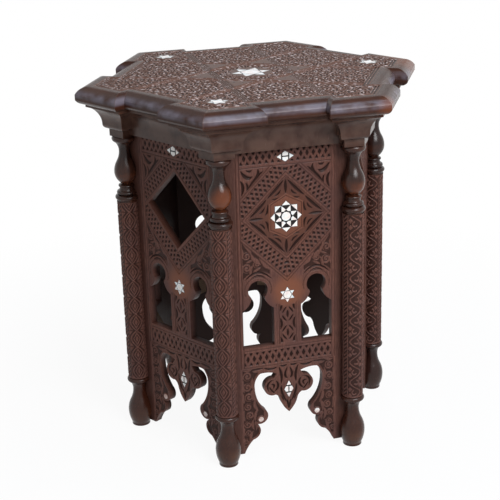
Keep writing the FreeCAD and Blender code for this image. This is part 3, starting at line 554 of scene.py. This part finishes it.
def carve_panel(carving, edge, starred):
    """All cuts of a panel, from the distance of each place from the panel's edges."""
    wide = np.abs(carving.u)
    diamond = wide + np.abs(carving.v - DIAMOND_LEVEL)
    clear = ramp_up(*WALL_FADE, edge)
    cut_frames(carving, wide, diamond, clear)
    cut_lattices(carving, wide, diamond, clear)
    cut_leaves(carving, wide, diamond, clear)
    cut_mullion(carving, wide, clear)
    cut_apron(carving, edge)
    if starred:
        cut_diamond(carving, wide, diamond)
    cut_seats(carving, starred)


def trim(carving, edge):
    """Triangles of the grid inside the outline: flat places, depths and corners."""
    rows, columns = edge.shape
    inside = edge > 0
    ids = np.full(edge.shape, -1)
    ids[inside] = np.arange(inside.sum())
    places = [np.stack([carving.u[inside], carving.v[inside]], -1)]
    depths = [carving.depth[inside]]
    count = int(inside.sum())
    crossings = []
    for up, right in ((0, 1), (1, 0), (1, 1)):
        here = (slice(0, rows - up), slice(0, columns - right))
        there = (slice(up, rows), slice(right, columns))
        mask = inside[here] != inside[there]
        share = edge[here][mask] / (edge[here] - edge[there])[mask]
        place_u = carving.u[here][mask] + share * (carving.u[there] - carving.u[here])[mask]
        place_v = carving.v[here][mask] + share * (carving.v[there] - carving.v[here])[mask]
        table = np.full(edge.shape, -1)
        table[here][mask] = count + np.arange(mask.sum())
        count += int(mask.sum())
        places.append(np.stack([place_u, place_v], -1))
        depths.append(np.zeros(mask.sum()))
        crossings.append(table)
    level, upright, slant = crossings
    low, high = slice(None, -1), slice(1, None)
    near, east, north, far = (low, low), (low, high), (high, low), (high, high)
    halves = (
        ((near, east, far), (level[near], upright[east], slant[near])),
        ((near, far, north), (slant[near], level[north], upright[near])),
    )
    triangles = []
    for corners, edges in halves:
        state = [inside[place] for place in corners]
        ident = [ids[place] for place in corners]
        whole = state[0] & state[1] & state[2]
        triangles.append(np.stack([part[whole] for part in ident], -1))
        for k in range(3):
            after, before = (k + 1) % 3, (k + 2) % 3
            one = state[k] & ~state[after] & ~state[before]
            triangles.append(np.stack([ident[k][one], edges[k][one], edges[before][one]], -1))
            two = ~state[k] & state[after] & state[before]
            triangles.append(np.stack([ident[after][two], ident[before][two], edges[before][two]], -1))
            triangles.append(np.stack([ident[after][two], edges[before][two], edges[k][two]], -1))
    return np.concatenate(places), np.concatenate(depths), np.concatenate(triangles)


def build_mesh(name, vertices, faces, smooth, depths):
    """A mesh in metres from millimetres, with the depth of the carving at each vertex, or the painted shade
    given there as a depth.
    """
    mesh = bpy.data.meshes.new(name)
    mesh.vertices.add(len(vertices))
    mesh.vertices.foreach_set("co", (np.asarray(vertices) * MM).ravel())
    loops = np.concatenate([np.ravel(face) for face in faces])
    sizes = np.array([len(face) for face in faces])
    mesh.loops.add(len(loops))
    mesh.loops.foreach_set("vertex_index", loops.astype(np.int32))
    mesh.polygons.add(len(sizes))
    mesh.polygons.foreach_set("loop_start", (np.cumsum(sizes) - sizes).astype(np.int32))
    mesh.polygons.foreach_set("use_smooth", np.asarray(smooth, bool))
    attribute = mesh.attributes.new("cut", "FLOAT", "POINT")
    attribute.data.foreach_set("value", np.asarray(depths, np.float32))
    mesh.update(calc_edges=True)
    mesh.validate()
    return mesh


def place_piece(name, mesh, slot, turn=0.0):
    """A piece of carving, turned round the axis of the table; pieces may share a mesh."""
    piece = bpy.data.objects.new(name, mesh)
    bpy.context.scene.collection.objects.link(piece)
    if not mesh.materials:
        mesh.materials.append(finishes[slot])
    piece.matrix_world = Matrix.Rotation(turn, 4, "Z")
    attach(piece, "root")
    return piece


def split_faces(node, points, depth_of):
    """Faces of a CAD node that reach below its carved face, and the edges they share with that face."""
    kept = []
    segments = []
    for polygon in nodes[node].data.polygons:
        corners = list(polygon.vertices)
        if max(depth_of[corner] for corner in corners) < WALL_DEPTH:
            continue
        kept.append(corners)
        for start, end in zip(corners, corners[1:] + corners[:1]):
            if depth_of[start] < FACE_DEPTH and depth_of[end] < FACE_DEPTH:
                segments.append((points[start], points[end]))
    return kept, segments


def carved_panel(node, side, starred):
    """A panel turned to the front: carved face, with the walls and the back of the CAD node."""
    angle = -TURN * (side - 1)
    cos, sin = math.cos(angle), math.sin(angle)
    points = points_of(node) @ np.array([[cos, -sin, 0], [sin, cos, 0], [0, 0, 1]]).T
    flat = points[:, [0, 2]]
    face = points[:, 1].min()
    kept, segments = split_faces(node, flat, points[:, 1] - face)
    low, high = flat.min(0) - GRID_MARGIN, flat.max(0) + GRID_MARGIN
    fine = FIELD_HALF_WIDTH + FINE_MARGIN
    x = np.concatenate([
        np.arange(low[0], -fine, STILE_GRID),
        np.arange(-fine, fine, PANEL_GRID),
        np.arange(fine, high[0] + STILE_GRID, STILE_GRID),
    ])
    carving = Carving(x, np.arange(low[1], high[1], PANEL_GRID))
    edge = edge_distance(carving.u, carving.v, segments)
    carve_panel(carving, edge, starred)
    places, depths, triangles = trim(carving, edge)
    front = np.stack([places[:, 0], face + depths, places[:, 1]], -1)
    vertices = np.concatenate([front, points])
    walls = [[corner + len(front) for corner in corners] for corners in kept]
    smooth = [True] * len(triangles) + [False] * len(walls)
    # Painted shade: the stiles grow darker towards the columns, and the back and the deeper wall corners take
    # a full shade depth
    stile_shade = STILE_SHADE * ramp_up(*STILE_FADE, np.abs(places[:, 0]) - fine)
    inner = np.where(points[:, 1] > face + SEAT_DEPTH, BACK_SHADE, 0.0)
    cuts = np.concatenate([np.maximum(depths, stile_shade), inner])
    return build_mesh(f"{node}_carving", vertices, list(triangles) + walls, smooth, cuts)


def top_stars():
    """Middle, radius and first point of each star in the top."""
    stars = [((0.0, 0.0, CENTER_STAR_RADIUS), 0.0)]
    for column in range(0, SIDES, 2):
        angle = FIRST_COLUMN_ANGLE + TURN * column
        place = (CORNER_STAR_PLACE * math.cos(angle), CORNER_STAR_PLACE * math.sin(angle))
        stars.append(((*place, CORNER_STAR_RADIUS), angle))
    return stars


def carve_top(carving, edge):
    """Straps round a hexagon, smooth triangles beside it and foliage in the other fields."""
    u, v = carving.u, carving.v
    strap = np.full(u.shape, np.inf)
    crossed = np.zeros(u.shape, int)
    for k in range(SIDES):
        reach = u * math.cos(TURN * k) + v * math.sin(TURN * k)
        crossed += reach > STRAP_APOTHEM
        strap = np.minimum(strap, np.abs(reach - STRAP_APOTHEM))
    for place in (STRAP_HALF_WIDTH, STRAP_HALF_WIDTH - STRAP_LINE_GAP):
        carving.cut(TOP_LINE_DEPTH * line_at(place, strap, STRAP_LINE_HALF_WIDTH) * (edge > BORDER_WIDTH))
    for place in (BORDER_WIDTH, BORDER_WIDTH - BORDER_LINE_GAP):
        carving.cut(TOP_LINE_DEPTH * line_at(place, edge, BORDER_LINE_HALF_WIDTH))
    ground = (strap > STRAP_HALF_WIDTH + STRAP_ROOM) & (edge > BORDER_WIDTH + BORDER_ROOM) & (crossed != 1)
    for (x, y, radius), _ in top_stars():
        ground &= np.hypot(u - x, v - y) > radius + STAR_ROOM
    carving.cut(FIELD_DEPTH * ground)
    carving.foliage(TOP_SPACING, TOP_DEPTH, ground * 1.0)
    for star, first in top_stars():
        carving.cut(SEAT_DEPTH * star_mask(u, v, star, SMALL_STAR_POINTS, first))


def carved_top():
    """The top board in two halves, the left one with the walls and the underside of the CAD node."""
    points = points_of("top_board")
    top = points[:, 2].max()
    kept, segments = split_faces("top_board", points[:, :2], top - points[:, 2])
    low, high = points[:, :2].min(0) - GRID_MARGIN, points[:, :2].max(0) + GRID_MARGIN
    carving = Carving(np.arange(low[0], high[0], TOP_GRID), np.arange(low[1], high[1], TOP_GRID))
    edge = edge_distance(carving.u, carving.v, segments)
    carve_top(carving, edge)
    places, depths, triangles = trim(carving, edge)
    face = np.stack([places[:, 0], places[:, 1], top - depths], -1)
    left = places[triangles].mean(1)[:, 0] < 0
    for name, half in (("left", left), ("right", ~left)):
        used, corners = np.unique(triangles[half], return_inverse=True)
        vertices, cuts = face[used], depths[used]
        faces = list(corners.reshape(-1, 3))
        smooth = [True] * len(faces)
        if name == "left":
            faces += [[corner + len(used) for corner in item] for item in kept]
            smooth += [False] * len(kept)
            vertices = np.concatenate([vertices, points])
            cuts = np.concatenate([cuts, np.zeros(len(points))])
        mesh = build_mesh(f"top_carving_{name}", vertices, faces, smooth, cuts)
        piece = place_piece(f"carved_top_{name}", mesh, "top_walnut")
        if name == "left":
            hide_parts("top_board")


def pointed(wide, along, leaf):
    """Below zero inside a pointed leaf given by its half width, half height and slope."""
    half_width, half_height, slope = leaf
    return (wide / half_width + along / half_height - 1) * slope


def knots(across, level, half):
    """Two ribbons that cross again and again.

    Each eye holds a leaf in a ring, and split leaves lie beside each crossing.
    """
    wave = KNOT_SWING_SHARE * half * np.sin(math.pi * level / KNOT_PERIOD)
    ribbons = np.minimum(np.abs(across - wave), np.abs(across + wave)) - RIBBON_HALF_WIDTH
    along = off_whole(level / KNOT_PERIOD - 0.5) * KNOT_PERIOD
    wide = np.abs(across)
    leaf = pointed(wide, along, KNOT_LEAF)
    ring = np.abs(pointed(wide, along, KNOT_RING)) - KNOT_RING_HALF_WIDTH
    beside = pointed(half - wide, KNOT_PERIOD / 2 - along, SPLIT_LEAF)
    split = SPLIT_HALF_WIDTH - np.abs(KNOT_PERIOD / 2 - along)
    return np.minimum(np.minimum(ribbons, np.minimum(leaf, ring)), np.maximum(beside, split))


def scrolls(across, level, half):
    """A ribbon that winds from side to side, with a curl in each bend and a leaf above and below it."""
    turn = math.tau * level / SCROLL_PERIOD
    ribbon = np.abs(across - SCROLL_SWING_SHARE * half * np.sin(turn)) - RIBBON_HALF_WIDTH
    bend = level / SCROLL_PERIOD * 2 - 0.5
    near = np.round(bend)
    along = (bend - near) * SCROLL_PERIOD / 2
    side = np.where(near % 2 == 0, 1.0, -1.0)
    away = np.hypot(across + side * CURL_PLACE_SHARE * half, along)
    bearing = np.arctan2(along, side * across + CURL_PLACE_SHARE * half)
    opening = (CURL_OPENING_HALF - np.abs(bearing - CURL_OPENING)) * CURL_OPENING_SLOPE
    shape = np.minimum(ribbon, np.maximum(np.abs(away - CURL_RADIUS) - CURL_HALF_WIDTH, opening))
    for lift in (TIP_LIFT, -TIP_LIFT):
        wide = np.abs(across + side * TIP_PLACE_SHARE * half)
        shape = np.minimum(shape, pointed(wide, np.abs(along + lift), TIP_LEAF))
    return shape


def carved_shaft(shift, first):
    """Sleeve of carving round a column's shaft: strips of ornament between twisted cords."""
    radius = SHAFT_GROUND + SHAFT_RELIEF
    reach = SLEEVE_HALF_ANGLE * radius
    carving = Carving(np.arange(-reach, reach, SHAFT_GRID), np.arange(SHAFT_LOW, SHAFT_HIGH, SHAFT_GRID))
    u, v = carving.u, carving.v
    pitch = math.tau * radius / SHAFT_STRIPS
    count = np.round(u / pitch - shift)
    strip = u - (count + shift) * pitch
    cord = pitch / 2 - np.abs(strip)
    twist = (v + np.sign(strip) * cord) / CORD_PERIOD
    groove = ramp_up(*CORD_GROOVE_SHARES, off_whole(twist))
    carving.cut(SHAFT_RELIEF * groove * (cord < CORD_HALF_WIDTH))
    carving.cut(SHAFT_RELIEF * line_at(CORD_HALF_WIDTH + CORD_LINE_GAP, cord, CORD_LINE_HALF_WIDTH))
    half = pitch / 2 - CORD_HALF_WIDTH - FILLET
    level = v - SHAFT_LOW
    shape = np.where((count + first) % 2 == 0, knots(strip, level, half), scrolls(strip, level, half))
    ground = 1 - ramp_up(*STANDING_FADE, shape)
    carving.cut(SHAFT_RELIEF * ramp_up(*FILLET_FADE, np.abs(strip) - half) * ground)
    ends = np.minimum(v - SHAFT_LOW, SHAFT_HIGH - v)
    carving.depth = carving.depth * ramp_up(*SHAFT_END_FADE, ends)
    rows, columns = u.shape
    ids = np.arange(rows * columns).reshape(rows, columns)
    quads = np.stack([ids[:-1, :-1], ids[:-1, 1:], ids[1:, 1:], ids[1:, :-1]], -1).reshape(-1, 4)
    angle = (u / radius).ravel()
    out = (radius - carving.depth).ravel()
    vertices = np.stack([COLUMN_CIRCLE + out * np.cos(angle), out * np.sin(angle), v.ravel()], -1)
    # Painted shade: the shaft's depths are scaled so that its hollows turn dark
    cuts = carving.depth.ravel() * SHAFT_SHADE / SHAFT_RELIEF
    return build_mesh("shaft_carving", vertices, list(quads), [True] * len(quads), cuts)


# Finishes, in metres: stretch of the grain, and dark, light and patch tone of each wood
UPRIGHT_GRAIN = (1, 1, 0.12)
LEVEL_GRAIN = (0.2, 0.2, 1)
INNER_GRAIN = (0.12, 1, 1)
EBONY_GRAIN = (1, 1, 0.15)
CARVED_TONES = ((0.078, 0.032, 0.023), (0.158, 0.067, 0.049), (0.083, 0.038, 0.033))
POLISHED_TONES = ((0.020, 0.0068, 0.0043), (0.049, 0.0170, 0.0102), (0.062, 0.019, 0.009))
TOP_TONES = ((0.050, 0.019, 0.012), (0.098, 0.041, 0.026), (0.082, 0.030, 0.016))
PATCH_SHARE = 0.75
SLEEK_STEP = 0.06
ROUGH_STEP = 0.08
# Painted shade in the hollows of the carved pieces and of the top
CARVED_HOLLOW_SHADE = (0.019, 0.006, 0.0038)
TOP_HOLLOW_SHADE = (0.024, 0.010, 0.007)
TOP_LEAF = (0.172, 0.092, 0.069)
# Painted glints on the top's leaves: their pale tone, and the noise limits that place the specks
TOP_LEAF_GLINT = (0.600, 0.490, 0.460)
GLINT_LIMITS = (0.54, 0.66)

# Redder places on the panels: tone, middle in the front panel's frame, and reach
CARVED_PLACES = (
    ((0.210, 0.073, 0.036), (0.002, -0.166, 0.266), 0.034),
    ((0.166, 0.060, 0.033), (0.004, -0.166, 0.383), 0.055),
)
# Tones of the polish between two levels, with the fade and the greatest share of each
POLISH_LEVELS = {
    "dark pears": ((0.009, 0.0030, 0.0019), 0.385, 0.472, 0.006, 0.75),
    "red feet": ((0.040, 0.0100, 0.0045), 0.0, 0.080, 0.006, 0.75),
    "brown capitals": ((0.083, 0.0420, 0.0290), 0.486, 0.536, 0.005, 0.90),
    # Painted sheen: a bluish-white band on the upper half of the nosing
    "painted sheen on the nosing": ((0.200, 0.182, 0.220), 0.545, 0.5545, 0.003, 0.60),
    # Painted reflection: warm orange bands low on the pears and on the feet
    "painted warm reflection on the pears": ((0.150, 0.038, 0.012), 0.4085, 0.4285, 0.0045, 0.60),
    "painted warm reflection on the feet": ((0.090, 0.034, 0.015), 0.010, 0.026, 0.010, 0.60),
}
# Redder and darker places of the polish: tone, middle and reach
POLISH_RED = (0.150, 0.040, 0.013)
POLISH_DARK = (0.016, 0.006, 0.005)
POLISH_PLACES = (
    (POLISH_RED, (0.142, -0.236, 0.540), 0.036),
    (POLISH_RED, (0.262, 0.0, 0.545), 0.080),
    # This red place deepens the painted warm reflection on the front pear
    (POLISH_RED, (-0.098, -0.186, 0.424), 0.024),
    (POLISH_DARK, (0.200, 0.0, 0.440), 0.075),
    (POLISH_DARK, (0.200, 0.0, 0.045), 0.070),
)
# Shine of the polish: it falls towards the nosing and is nearly lost on the nosing's upper rim
SHINE_LEVELS = (0.500, 0.530)
SHINE_VALUES = (0.30, 0.18)
RIM_LEVELS = (0.5565, 0.559)
RIM_LOSS = 0.14
# Worn edges: radius of the rounding, how far it bends the surface, and greatest share
WORN_TONE = (0.150, 0.070, 0.045)
WORN_RADIUS = 0.0012
WORN_LIMITS = (0.985, 0.85)
WORN_SHARE = 0.6
# How a tone spreads round a place, and how uneven it is between two levels
PLACE_CORE_SHARE = 0.35
PLACE_SHARE = 0.75
UNEVEN_SCALE = 45
UNEVEN_LIMITS = (0.3, 0.6)
# Mother-of-pearl: stops of pink, cream and blue, and the brown dots on the brackets with their levels
PEARL_STOPS = ((0.3, (0.80, 0.66, 0.61)), (0.5, (0.88, 0.85, 0.80)), (0.7, (0.74, 0.80, 0.82)))
DOT_TONE = ((0.40, 0.22, 0.17), 0.050, 0.073, 0.002, 0.90)


class Finish:
    """A material with a principled surface, and short ways to add nodes to it."""

    def __init__(self, name, **values):
        self.material = bpy.data.materials.new(name)
        self.material.use_nodes = True
        self.tree = self.material.node_tree
        self.surface = self.tree.nodes["Principled BSDF"]
        for socket, value in values.items():
            title = socket.replace("_", " ").title().replace("Ior", "IOR")
            self.surface.inputs[title].default_value = value

    def node(self, kind, sockets=None, **settings):
        node = self.tree.nodes.new("ShaderNode" + kind)
        for name, value in settings.items():
            setattr(node, name, value)
        for socket, value in (sockets or {}).items():
            if isinstance(value, bpy.types.NodeSocket):
                self.tree.links.new(value, node.inputs[socket])
            else:
                node.inputs[socket].default_value = value
        return node

    def link(self, source, socket):
        self.tree.links.new(source, self.surface.inputs[socket])

    def place(self):
        return self.node("TexCoord").outputs["Object"]

    def level(self):
        return self.node("SeparateXYZ", {0: self.place()}).outputs["Z"]

    def reckon(self, operation, first, second):
        return self.node("Math", {0: first, 1: second}, operation=operation).outputs["Value"]

    def vector(self, operation, first, second=(0, 0, 0)):
        return self.node("VectorMath", {0: first, 1: second}, operation=operation).outputs["Value"]

    def between(self, value, low, high, first=0.0, last=1.0, smooth=False):
        """The first value at low and the last at high, and what lies between."""
        sockets = {"Value": value, "From Min": low, "From Max": high, "To Min": first, "To Max": last}
        kind = "SMOOTHSTEP" if smooth else "LINEAR"
        return self.node("MapRange", sockets, interpolation_type=kind).outputs["Result"]

    def noise(self, scale, detail, stretch=(1, 1, 1)):
        mapped = self.node("Mapping", {"Vector": self.place(), "Scale": stretch}).outputs["Vector"]
        return self.node("TexNoise", {"Vector": mapped, "Scale": scale, "Detail": detail}).outputs["Fac"]

    def ramp(self, value, stops):
        ramp = self.node("ValToRGB", {"Fac": value})
        while len(ramp.color_ramp.elements) < len(stops):
            ramp.color_ramp.elements.new(0.5)
        for element, (position, color) in zip(ramp.color_ramp.elements, stops):
            element.position = position
            element.color = (*color, 1)
        return ramp.outputs["Color"]

    def mix(self, share, first, second):
        """The first color where the share is zero, and the second where it is one."""
        first, second = [(*color, 1) if isinstance(color, tuple) else color for color in (first, second)]
        return self.node("Mix", {0: share, 6: first, 7: second}, data_type="RGBA").outputs[2]

    def bump(self, height, strength, distance):
        bump = self.node("Bump", {"Height": height, "Strength": strength, "Distance": distance})
        self.link(bump.outputs["Normal"], "Normal")


def grey(value):
    return (value, value, value)


def walnut(name, tones, roughness, grain, shine=0.5):
    """Brown wood with grain and patches of another tone: its finish, and a color that isn't linked yet."""
    dark, light, patch = tones
    finish = Finish(name, specular_ior_level=shine)
    fine = finish.noise(scale=900, detail=5.0, stretch=grain)
    broad = finish.noise(scale=16, detail=3.0)
    pores = finish.noise(scale=2600, detail=2.0, stretch=grain)
    color = finish.ramp(fine, [(0.3, dark), (0.7, light)])
    patches = finish.ramp(broad, [(0.42, grey(0.0)), (0.72, grey(PATCH_SHARE))])
    color = finish.mix(patches, color, patch)
    sleek, rough = roughness - SLEEK_STEP, roughness + ROUGH_STEP
    finish.link(finish.ramp(fine, [(0.2, grey(sleek)), (0.8, grey(rough))]), "Roughness")
    finish.bump(pores, strength=0.25, distance=0.0004)
    return finish, color


def by_cut(finish, color, hollow, low, high):
    """Another color in the hollows and where painted shade is set: it begins at the low depth and is whole at
    the high one.
    """
    depth = finish.node("Attribute", attribute_name="cut").outputs["Fac"]
    return finish.mix(finish.between(depth, low, high), color, hollow)


def near_point(finish, color, other, point, reach):
    """Another color round a place in the piece's own frame."""
    away = finish.vector("DISTANCE", finish.place(), point)
    share = finish.between(away, reach, reach * PLACE_CORE_SHARE, last=PLACE_SHARE, smooth=True)
    return finish.mix(share, color, other)


def at_levels(finish, color, other, low, high, fade, share):
    """Another color between two levels, in uneven patches."""
    level = finish.level()
    above = finish.between(level, low - fade, low + fade, smooth=True)
    below = finish.between(level, high + fade, high - fade, smooth=True)
    patches = finish.noise(scale=UNEVEN_SCALE, detail=2.0)
    uneven = finish.between(patches, *UNEVEN_LIMITS, last=share)
    part = finish.reckon("MULTIPLY", finish.reckon("MULTIPLY", above, below), uneven)
    return finish.mix(part, color, other)


def worn_edges(finish, color):
    """A lighter color along the edges of the piece."""
    rounded = finish.node("Bevel", {"Radius": WORN_RADIUS}, samples=4).outputs["Normal"]
    bent = finish.vector("DOT_PRODUCT", rounded, finish.node("NewGeometry").outputs["Normal"])
    return finish.mix(finish.between(bent, *WORN_LIMITS, last=WORN_SHARE), color, WORN_TONE)


def carved_wood():
    finish, color = walnut("carved_walnut", CARVED_TONES, roughness=0.42, grain=UPRIGHT_GRAIN, shine=0.16)
    for tone, point, reach in CARVED_PLACES:
        color = near_point(finish, color, tone, point, reach)
    # Painted shade: the hollows, the backs, the stiles and the shaft grooves turn to the dark hollow colour
    finish.link(by_cut(finish, color, CARVED_HOLLOW_SHADE, low=0.4, high=1.8), "Base Color")
    return finish.material


def polished_wood():
    finish, color = walnut("polished_walnut", POLISHED_TONES, roughness=0.22, grain=UPRIGHT_GRAIN)
    level = finish.level()
    shine = finish.between(level, *SHINE_LEVELS, *SHINE_VALUES)
    loss = finish.between(level, *RIM_LEVELS, last=RIM_LOSS)
    finish.link(finish.reckon("SUBTRACT", shine, loss), "Specular IOR Level")
    for tone in POLISH_LEVELS.values():
        color = at_levels(finish, color, *tone)
    for tone, point, reach in POLISH_PLACES:
        color = near_point(finish, color, tone, point, reach)
    finish.link(worn_edges(finish, color), "Base Color")
    return finish.material


def top_wood():
    finish, color = walnut("top_walnut", TOP_TONES, roughness=0.30, grain=LEVEL_GRAIN, shine=0.04)
    # Painted glints: pale specks on the raised leaves of the top
    glints = finish.between(finish.noise(scale=150, detail=2.0), *GLINT_LIMITS)
    leaves = finish.mix(glints, TOP_LEAF, TOP_LEAF_GLINT)
    color = by_cut(finish, color, leaves, low=0.15, high=0.35)
    # Painted shade: the deeper cuts of the top turn dark
    finish.link(by_cut(finish, color, TOP_HOLLOW_SHADE, low=0.5, high=1.3), "Base Color")
    return finish.material


def pearl():
    finish = Finish("pearl", roughness=0.24, coat_weight=0.3, coat_roughness=0.08)
    cloud = finish.noise(scale=160, detail=3.0)
    color = at_levels(finish, finish.ramp(cloud, PEARL_STOPS), *DOT_TONE)
    finish.link(color, "Base Color")
    finish.bump(finish.noise(scale=700, detail=2.0), strength=0.1, distance=0.0003)
    return finish.material


def ebony():
    dark, light = (0.006, 0.004, 0.004), (0.020, 0.014, 0.012)
    finish = Finish("ebony", roughness=0.35, specular_ior_level=0.2)
    streak = finish.noise(scale=900, detail=4.0, stretch=EBONY_GRAIN)
    finish.link(finish.ramp(streak, [(0.35, dark), (0.75, light)]), "Base Color")
    finish.bump(streak, strength=0.1, distance=0.0003)
    return finish.material


def plain_wood():
    dark, light = (0.13, 0.075, 0.045), (0.24, 0.15, 0.09)
    finish = Finish("inner_wood", roughness=0.7)
    fine = finish.noise(scale=700, detail=5.0, stretch=INNER_GRAIN)
    finish.link(finish.ramp(fine, [(0.3, dark), (0.7, light)]), "Base Color")
    finish.bump(fine, strength=0.3, distance=0.0006)
    return finish.material


def steel():
    dark, light = (0.30, 0.29, 0.27), (0.50, 0.49, 0.47)
    finish = Finish("screw_steel", metallic=1.0)
    worn = finish.noise(scale=900, detail=3.0)
    finish.link(finish.ramp(worn, [(0.3, dark), (0.7, light)]), "Base Color")
    finish.link(finish.ramp(worn, [(0.3, grey(0.3)), (0.7, grey(0.5))]), "Roughness")
    return finish.material


finishes = {
    "carved_walnut": carved_wood(),
    "polished_walnut": polished_wood(),
    "top_walnut": top_wood(),
    "inner_wood": plain_wood(),
    "pearl": pearl(),
    "ebony": ebony(),
    "screw_steel": steel(),
}
for subpart in frame["record"]["subparts"]:
    materials = nodes[subpart["node"]].data.materials
    materials.clear()
    materials.append(finishes[subpart["material_slot"]])

# Both panel meshes are turned to the front, so that each side only turns its own
star_mesh = carved_panel("star_panel_1", 1, True)
open_mesh = carved_panel("open_panel_2", 2, False)
for side in range(1, SIDES + 1):
    starred = side in STAR_SIDES
    kind = "star" if starred else "open"
    mesh = star_mesh if starred else open_mesh
    panel = place_piece(f"carved_{kind}_panel_{side}", mesh, "carved_walnut", TURN * (side - 1))
    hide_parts(f"{kind}_panel_{side}")

carved_top()

shaft_meshes = [carved_shaft(shift, first) for first, shift in enumerate(SHAFT_SHIFTS)]
for column in range(SIDES):
    turn = FIRST_COLUMN_ANGLE + TURN * column
    place_piece(f"carved_shaft_{column + 1}", shaft_meshes[column % 2], "carved_walnut", turn)

# White surroundings, in metres
WHITE = (1.0, 1.0, 1.0, 1.0)
WORLD_COLOR = (0.93, 0.95, 1.0, 1.0)
WORLD_LIGHT = 0.24
FLOOR_COLOR = (0.85, 0.85, 0.85, 1.0)
FLOOR_SIZE = 6.0
GLOW_NEAR = 0.93
GLOW_FAR = 1.0
GLOW_REACH = (0.3, 1.0)


def shown_rays(tree):
    """One for rays from the camera, off glossy surfaces and through glass, zero for those that only light."""
    path = tree.nodes.new("ShaderNodeLightPath")
    total = path.outputs["Is Camera Ray"]
    for name in ("Is Glossy Ray", "Is Transmission Ray"):
        larger = tree.nodes.new("ShaderNodeMath")
        larger.operation = "MAXIMUM"
        tree.links.new(total, larger.inputs[0])
        tree.links.new(path.outputs[name], larger.inputs[1])
        total = larger.outputs[0]
    return total


def make_world():
    world = bpy.data.worlds.new("studio")
    bpy.context.scene.world = world
    world.use_nodes = True
    tree = world.node_tree
    light = tree.nodes["Background"]
    light.inputs["Color"].default_value = WORLD_COLOR
    light.inputs["Strength"].default_value = WORLD_LIGHT
    shown = tree.nodes.new("ShaderNodeBackground")
    shown.inputs["Color"].default_value = WHITE
    shown.inputs["Strength"].default_value = 1.0
    mix = tree.nodes.new("ShaderNodeMixShader")
    tree.links.new(shown_rays(tree), mix.inputs["Fac"])
    tree.links.new(light.outputs["Background"], mix.inputs[1])
    tree.links.new(shown.outputs["Background"], mix.inputs[2])
    tree.links.new(mix.outputs["Shader"], tree.nodes["World Output"].inputs["Surface"])


def make_floor():
    """A white floor that keeps a faint shadow near the table and turns into the backdrop farther off."""
    mesh = bpy.data.meshes.new("floor")
    corners = [(-1, -1), (1, -1), (1, 1), (-1, 1)]
    mesh.from_pydata([(x * FLOOR_SIZE, y * FLOOR_SIZE, 0) for x, y in corners], [], [(0, 1, 2, 3)])
    floor = bpy.data.objects.new("floor", mesh)
    bpy.context.scene.collection.objects.link(floor)
    finish = Finish("floor", base_color=FLOOR_COLOR, roughness=0.9)
    tree = finish.tree
    share = finish.between(finish.vector("LENGTH", finish.place()), *GLOW_REACH, GLOW_NEAR, GLOW_FAR)
    shown = finish.reckon("MULTIPLY", shown_rays(tree), share)
    glow = finish.node("Emission", {"Color": WHITE, "Strength": 1.0})
    mix = finish.node("MixShader", {0: shown, 1: finish.surface.outputs["BSDF"], 2: glow.outputs["Emission"]})
    tree.links.new(mix.outputs["Shader"], tree.nodes["Material Output"].inputs["Surface"])
    mesh.materials.append(finish.material)


# Lamps: place and target in metres, size, power in watts and color
MIDDLE = (0, 0, 0.35)
LAMPS = {
    "key": ((0.55, -1.95, 1.95), MIDDLE, (1.1, 1.2), 56, (0.98, 0.98, 1.0)),
    "over": ((0.35, -0.50, 1.9), (0.1, -0.05, 0.5), (1.0, 0.22), 9, (0.62, 0.80, 1.0)),
    "rim": ((0.5, 1.7, 1.9), (0, 0, 0.5), (0.8, 0.4), 6, (0.90, 0.95, 1.0)),
    "fill": ((-2.2, -1.2, 1.2), MIDDLE, (0.8, 1.4), 1, (1.0, 0.96, 0.93)),
}


def add_lamp(name, place, target, size, power, color):
    lamp = bpy.data.lights.new(name, "AREA")
    lamp.shape = "RECTANGLE"
    lamp.size, lamp.size_y = size
    lamp.energy = power
    lamp.color = color
    holder = bpy.data.objects.new(name, lamp)
    bpy.context.scene.collection.objects.link(holder)
    holder.location = place
    way = Vector(target) - Vector(place)
    holder.rotation_euler = way.to_track_quat("-Z", "Y").to_euler()


# The camera as fitted to the photo, in metres, with its sensor in millimetres
CAMERA_AZIMUTH = math.radians(-15.743)
CAMERA_ELEVATION = math.radians(20.354)
CAMERA_ROLL = math.radians(-1.556)
CAMERA_DISTANCE = 1.9669
CAMERA_TARGET = (-0.0080, 0.0023, 0.2729)
SENSOR_WIDTH = 36.0
FOCAL_SHARE = 2.4687


def add_camera():
    data = bpy.data.cameras.new("camera")
    data.sensor_width = SENSOR_WIDTH
    data.lens = SENSOR_WIDTH * FOCAL_SHARE
    camera = bpy.data.objects.new("camera", data)
    bpy.context.scene.collection.objects.link(camera)
    ground = math.cos(CAMERA_ELEVATION)
    x, y = math.sin(CAMERA_AZIMUTH) * ground, -math.cos(CAMERA_AZIMUTH) * ground
    back = Vector((x, y, math.sin(CAMERA_ELEVATION)))
    right = (-back).cross(Vector((0, 0, 1))).normalized()
    up = right.cross(-back)
    across = right * math.cos(CAMERA_ROLL) + up * math.sin(CAMERA_ROLL)
    upward = up * math.cos(CAMERA_ROLL) - right * math.sin(CAMERA_ROLL)
    place = Matrix((across, upward, back)).transposed().to_4x4()
    place.translation = Vector(CAMERA_TARGET) + back * CAMERA_DISTANCE
    camera.matrix_world = place
    bpy.context.scene.camera = camera


make_world()
make_floor()
for lamp_name, lamp_values in LAMPS.items():
    add_lamp(lamp_name, *lamp_values)
add_camera()
bpy.context.scene.view_settings.view_transform = "Standard"
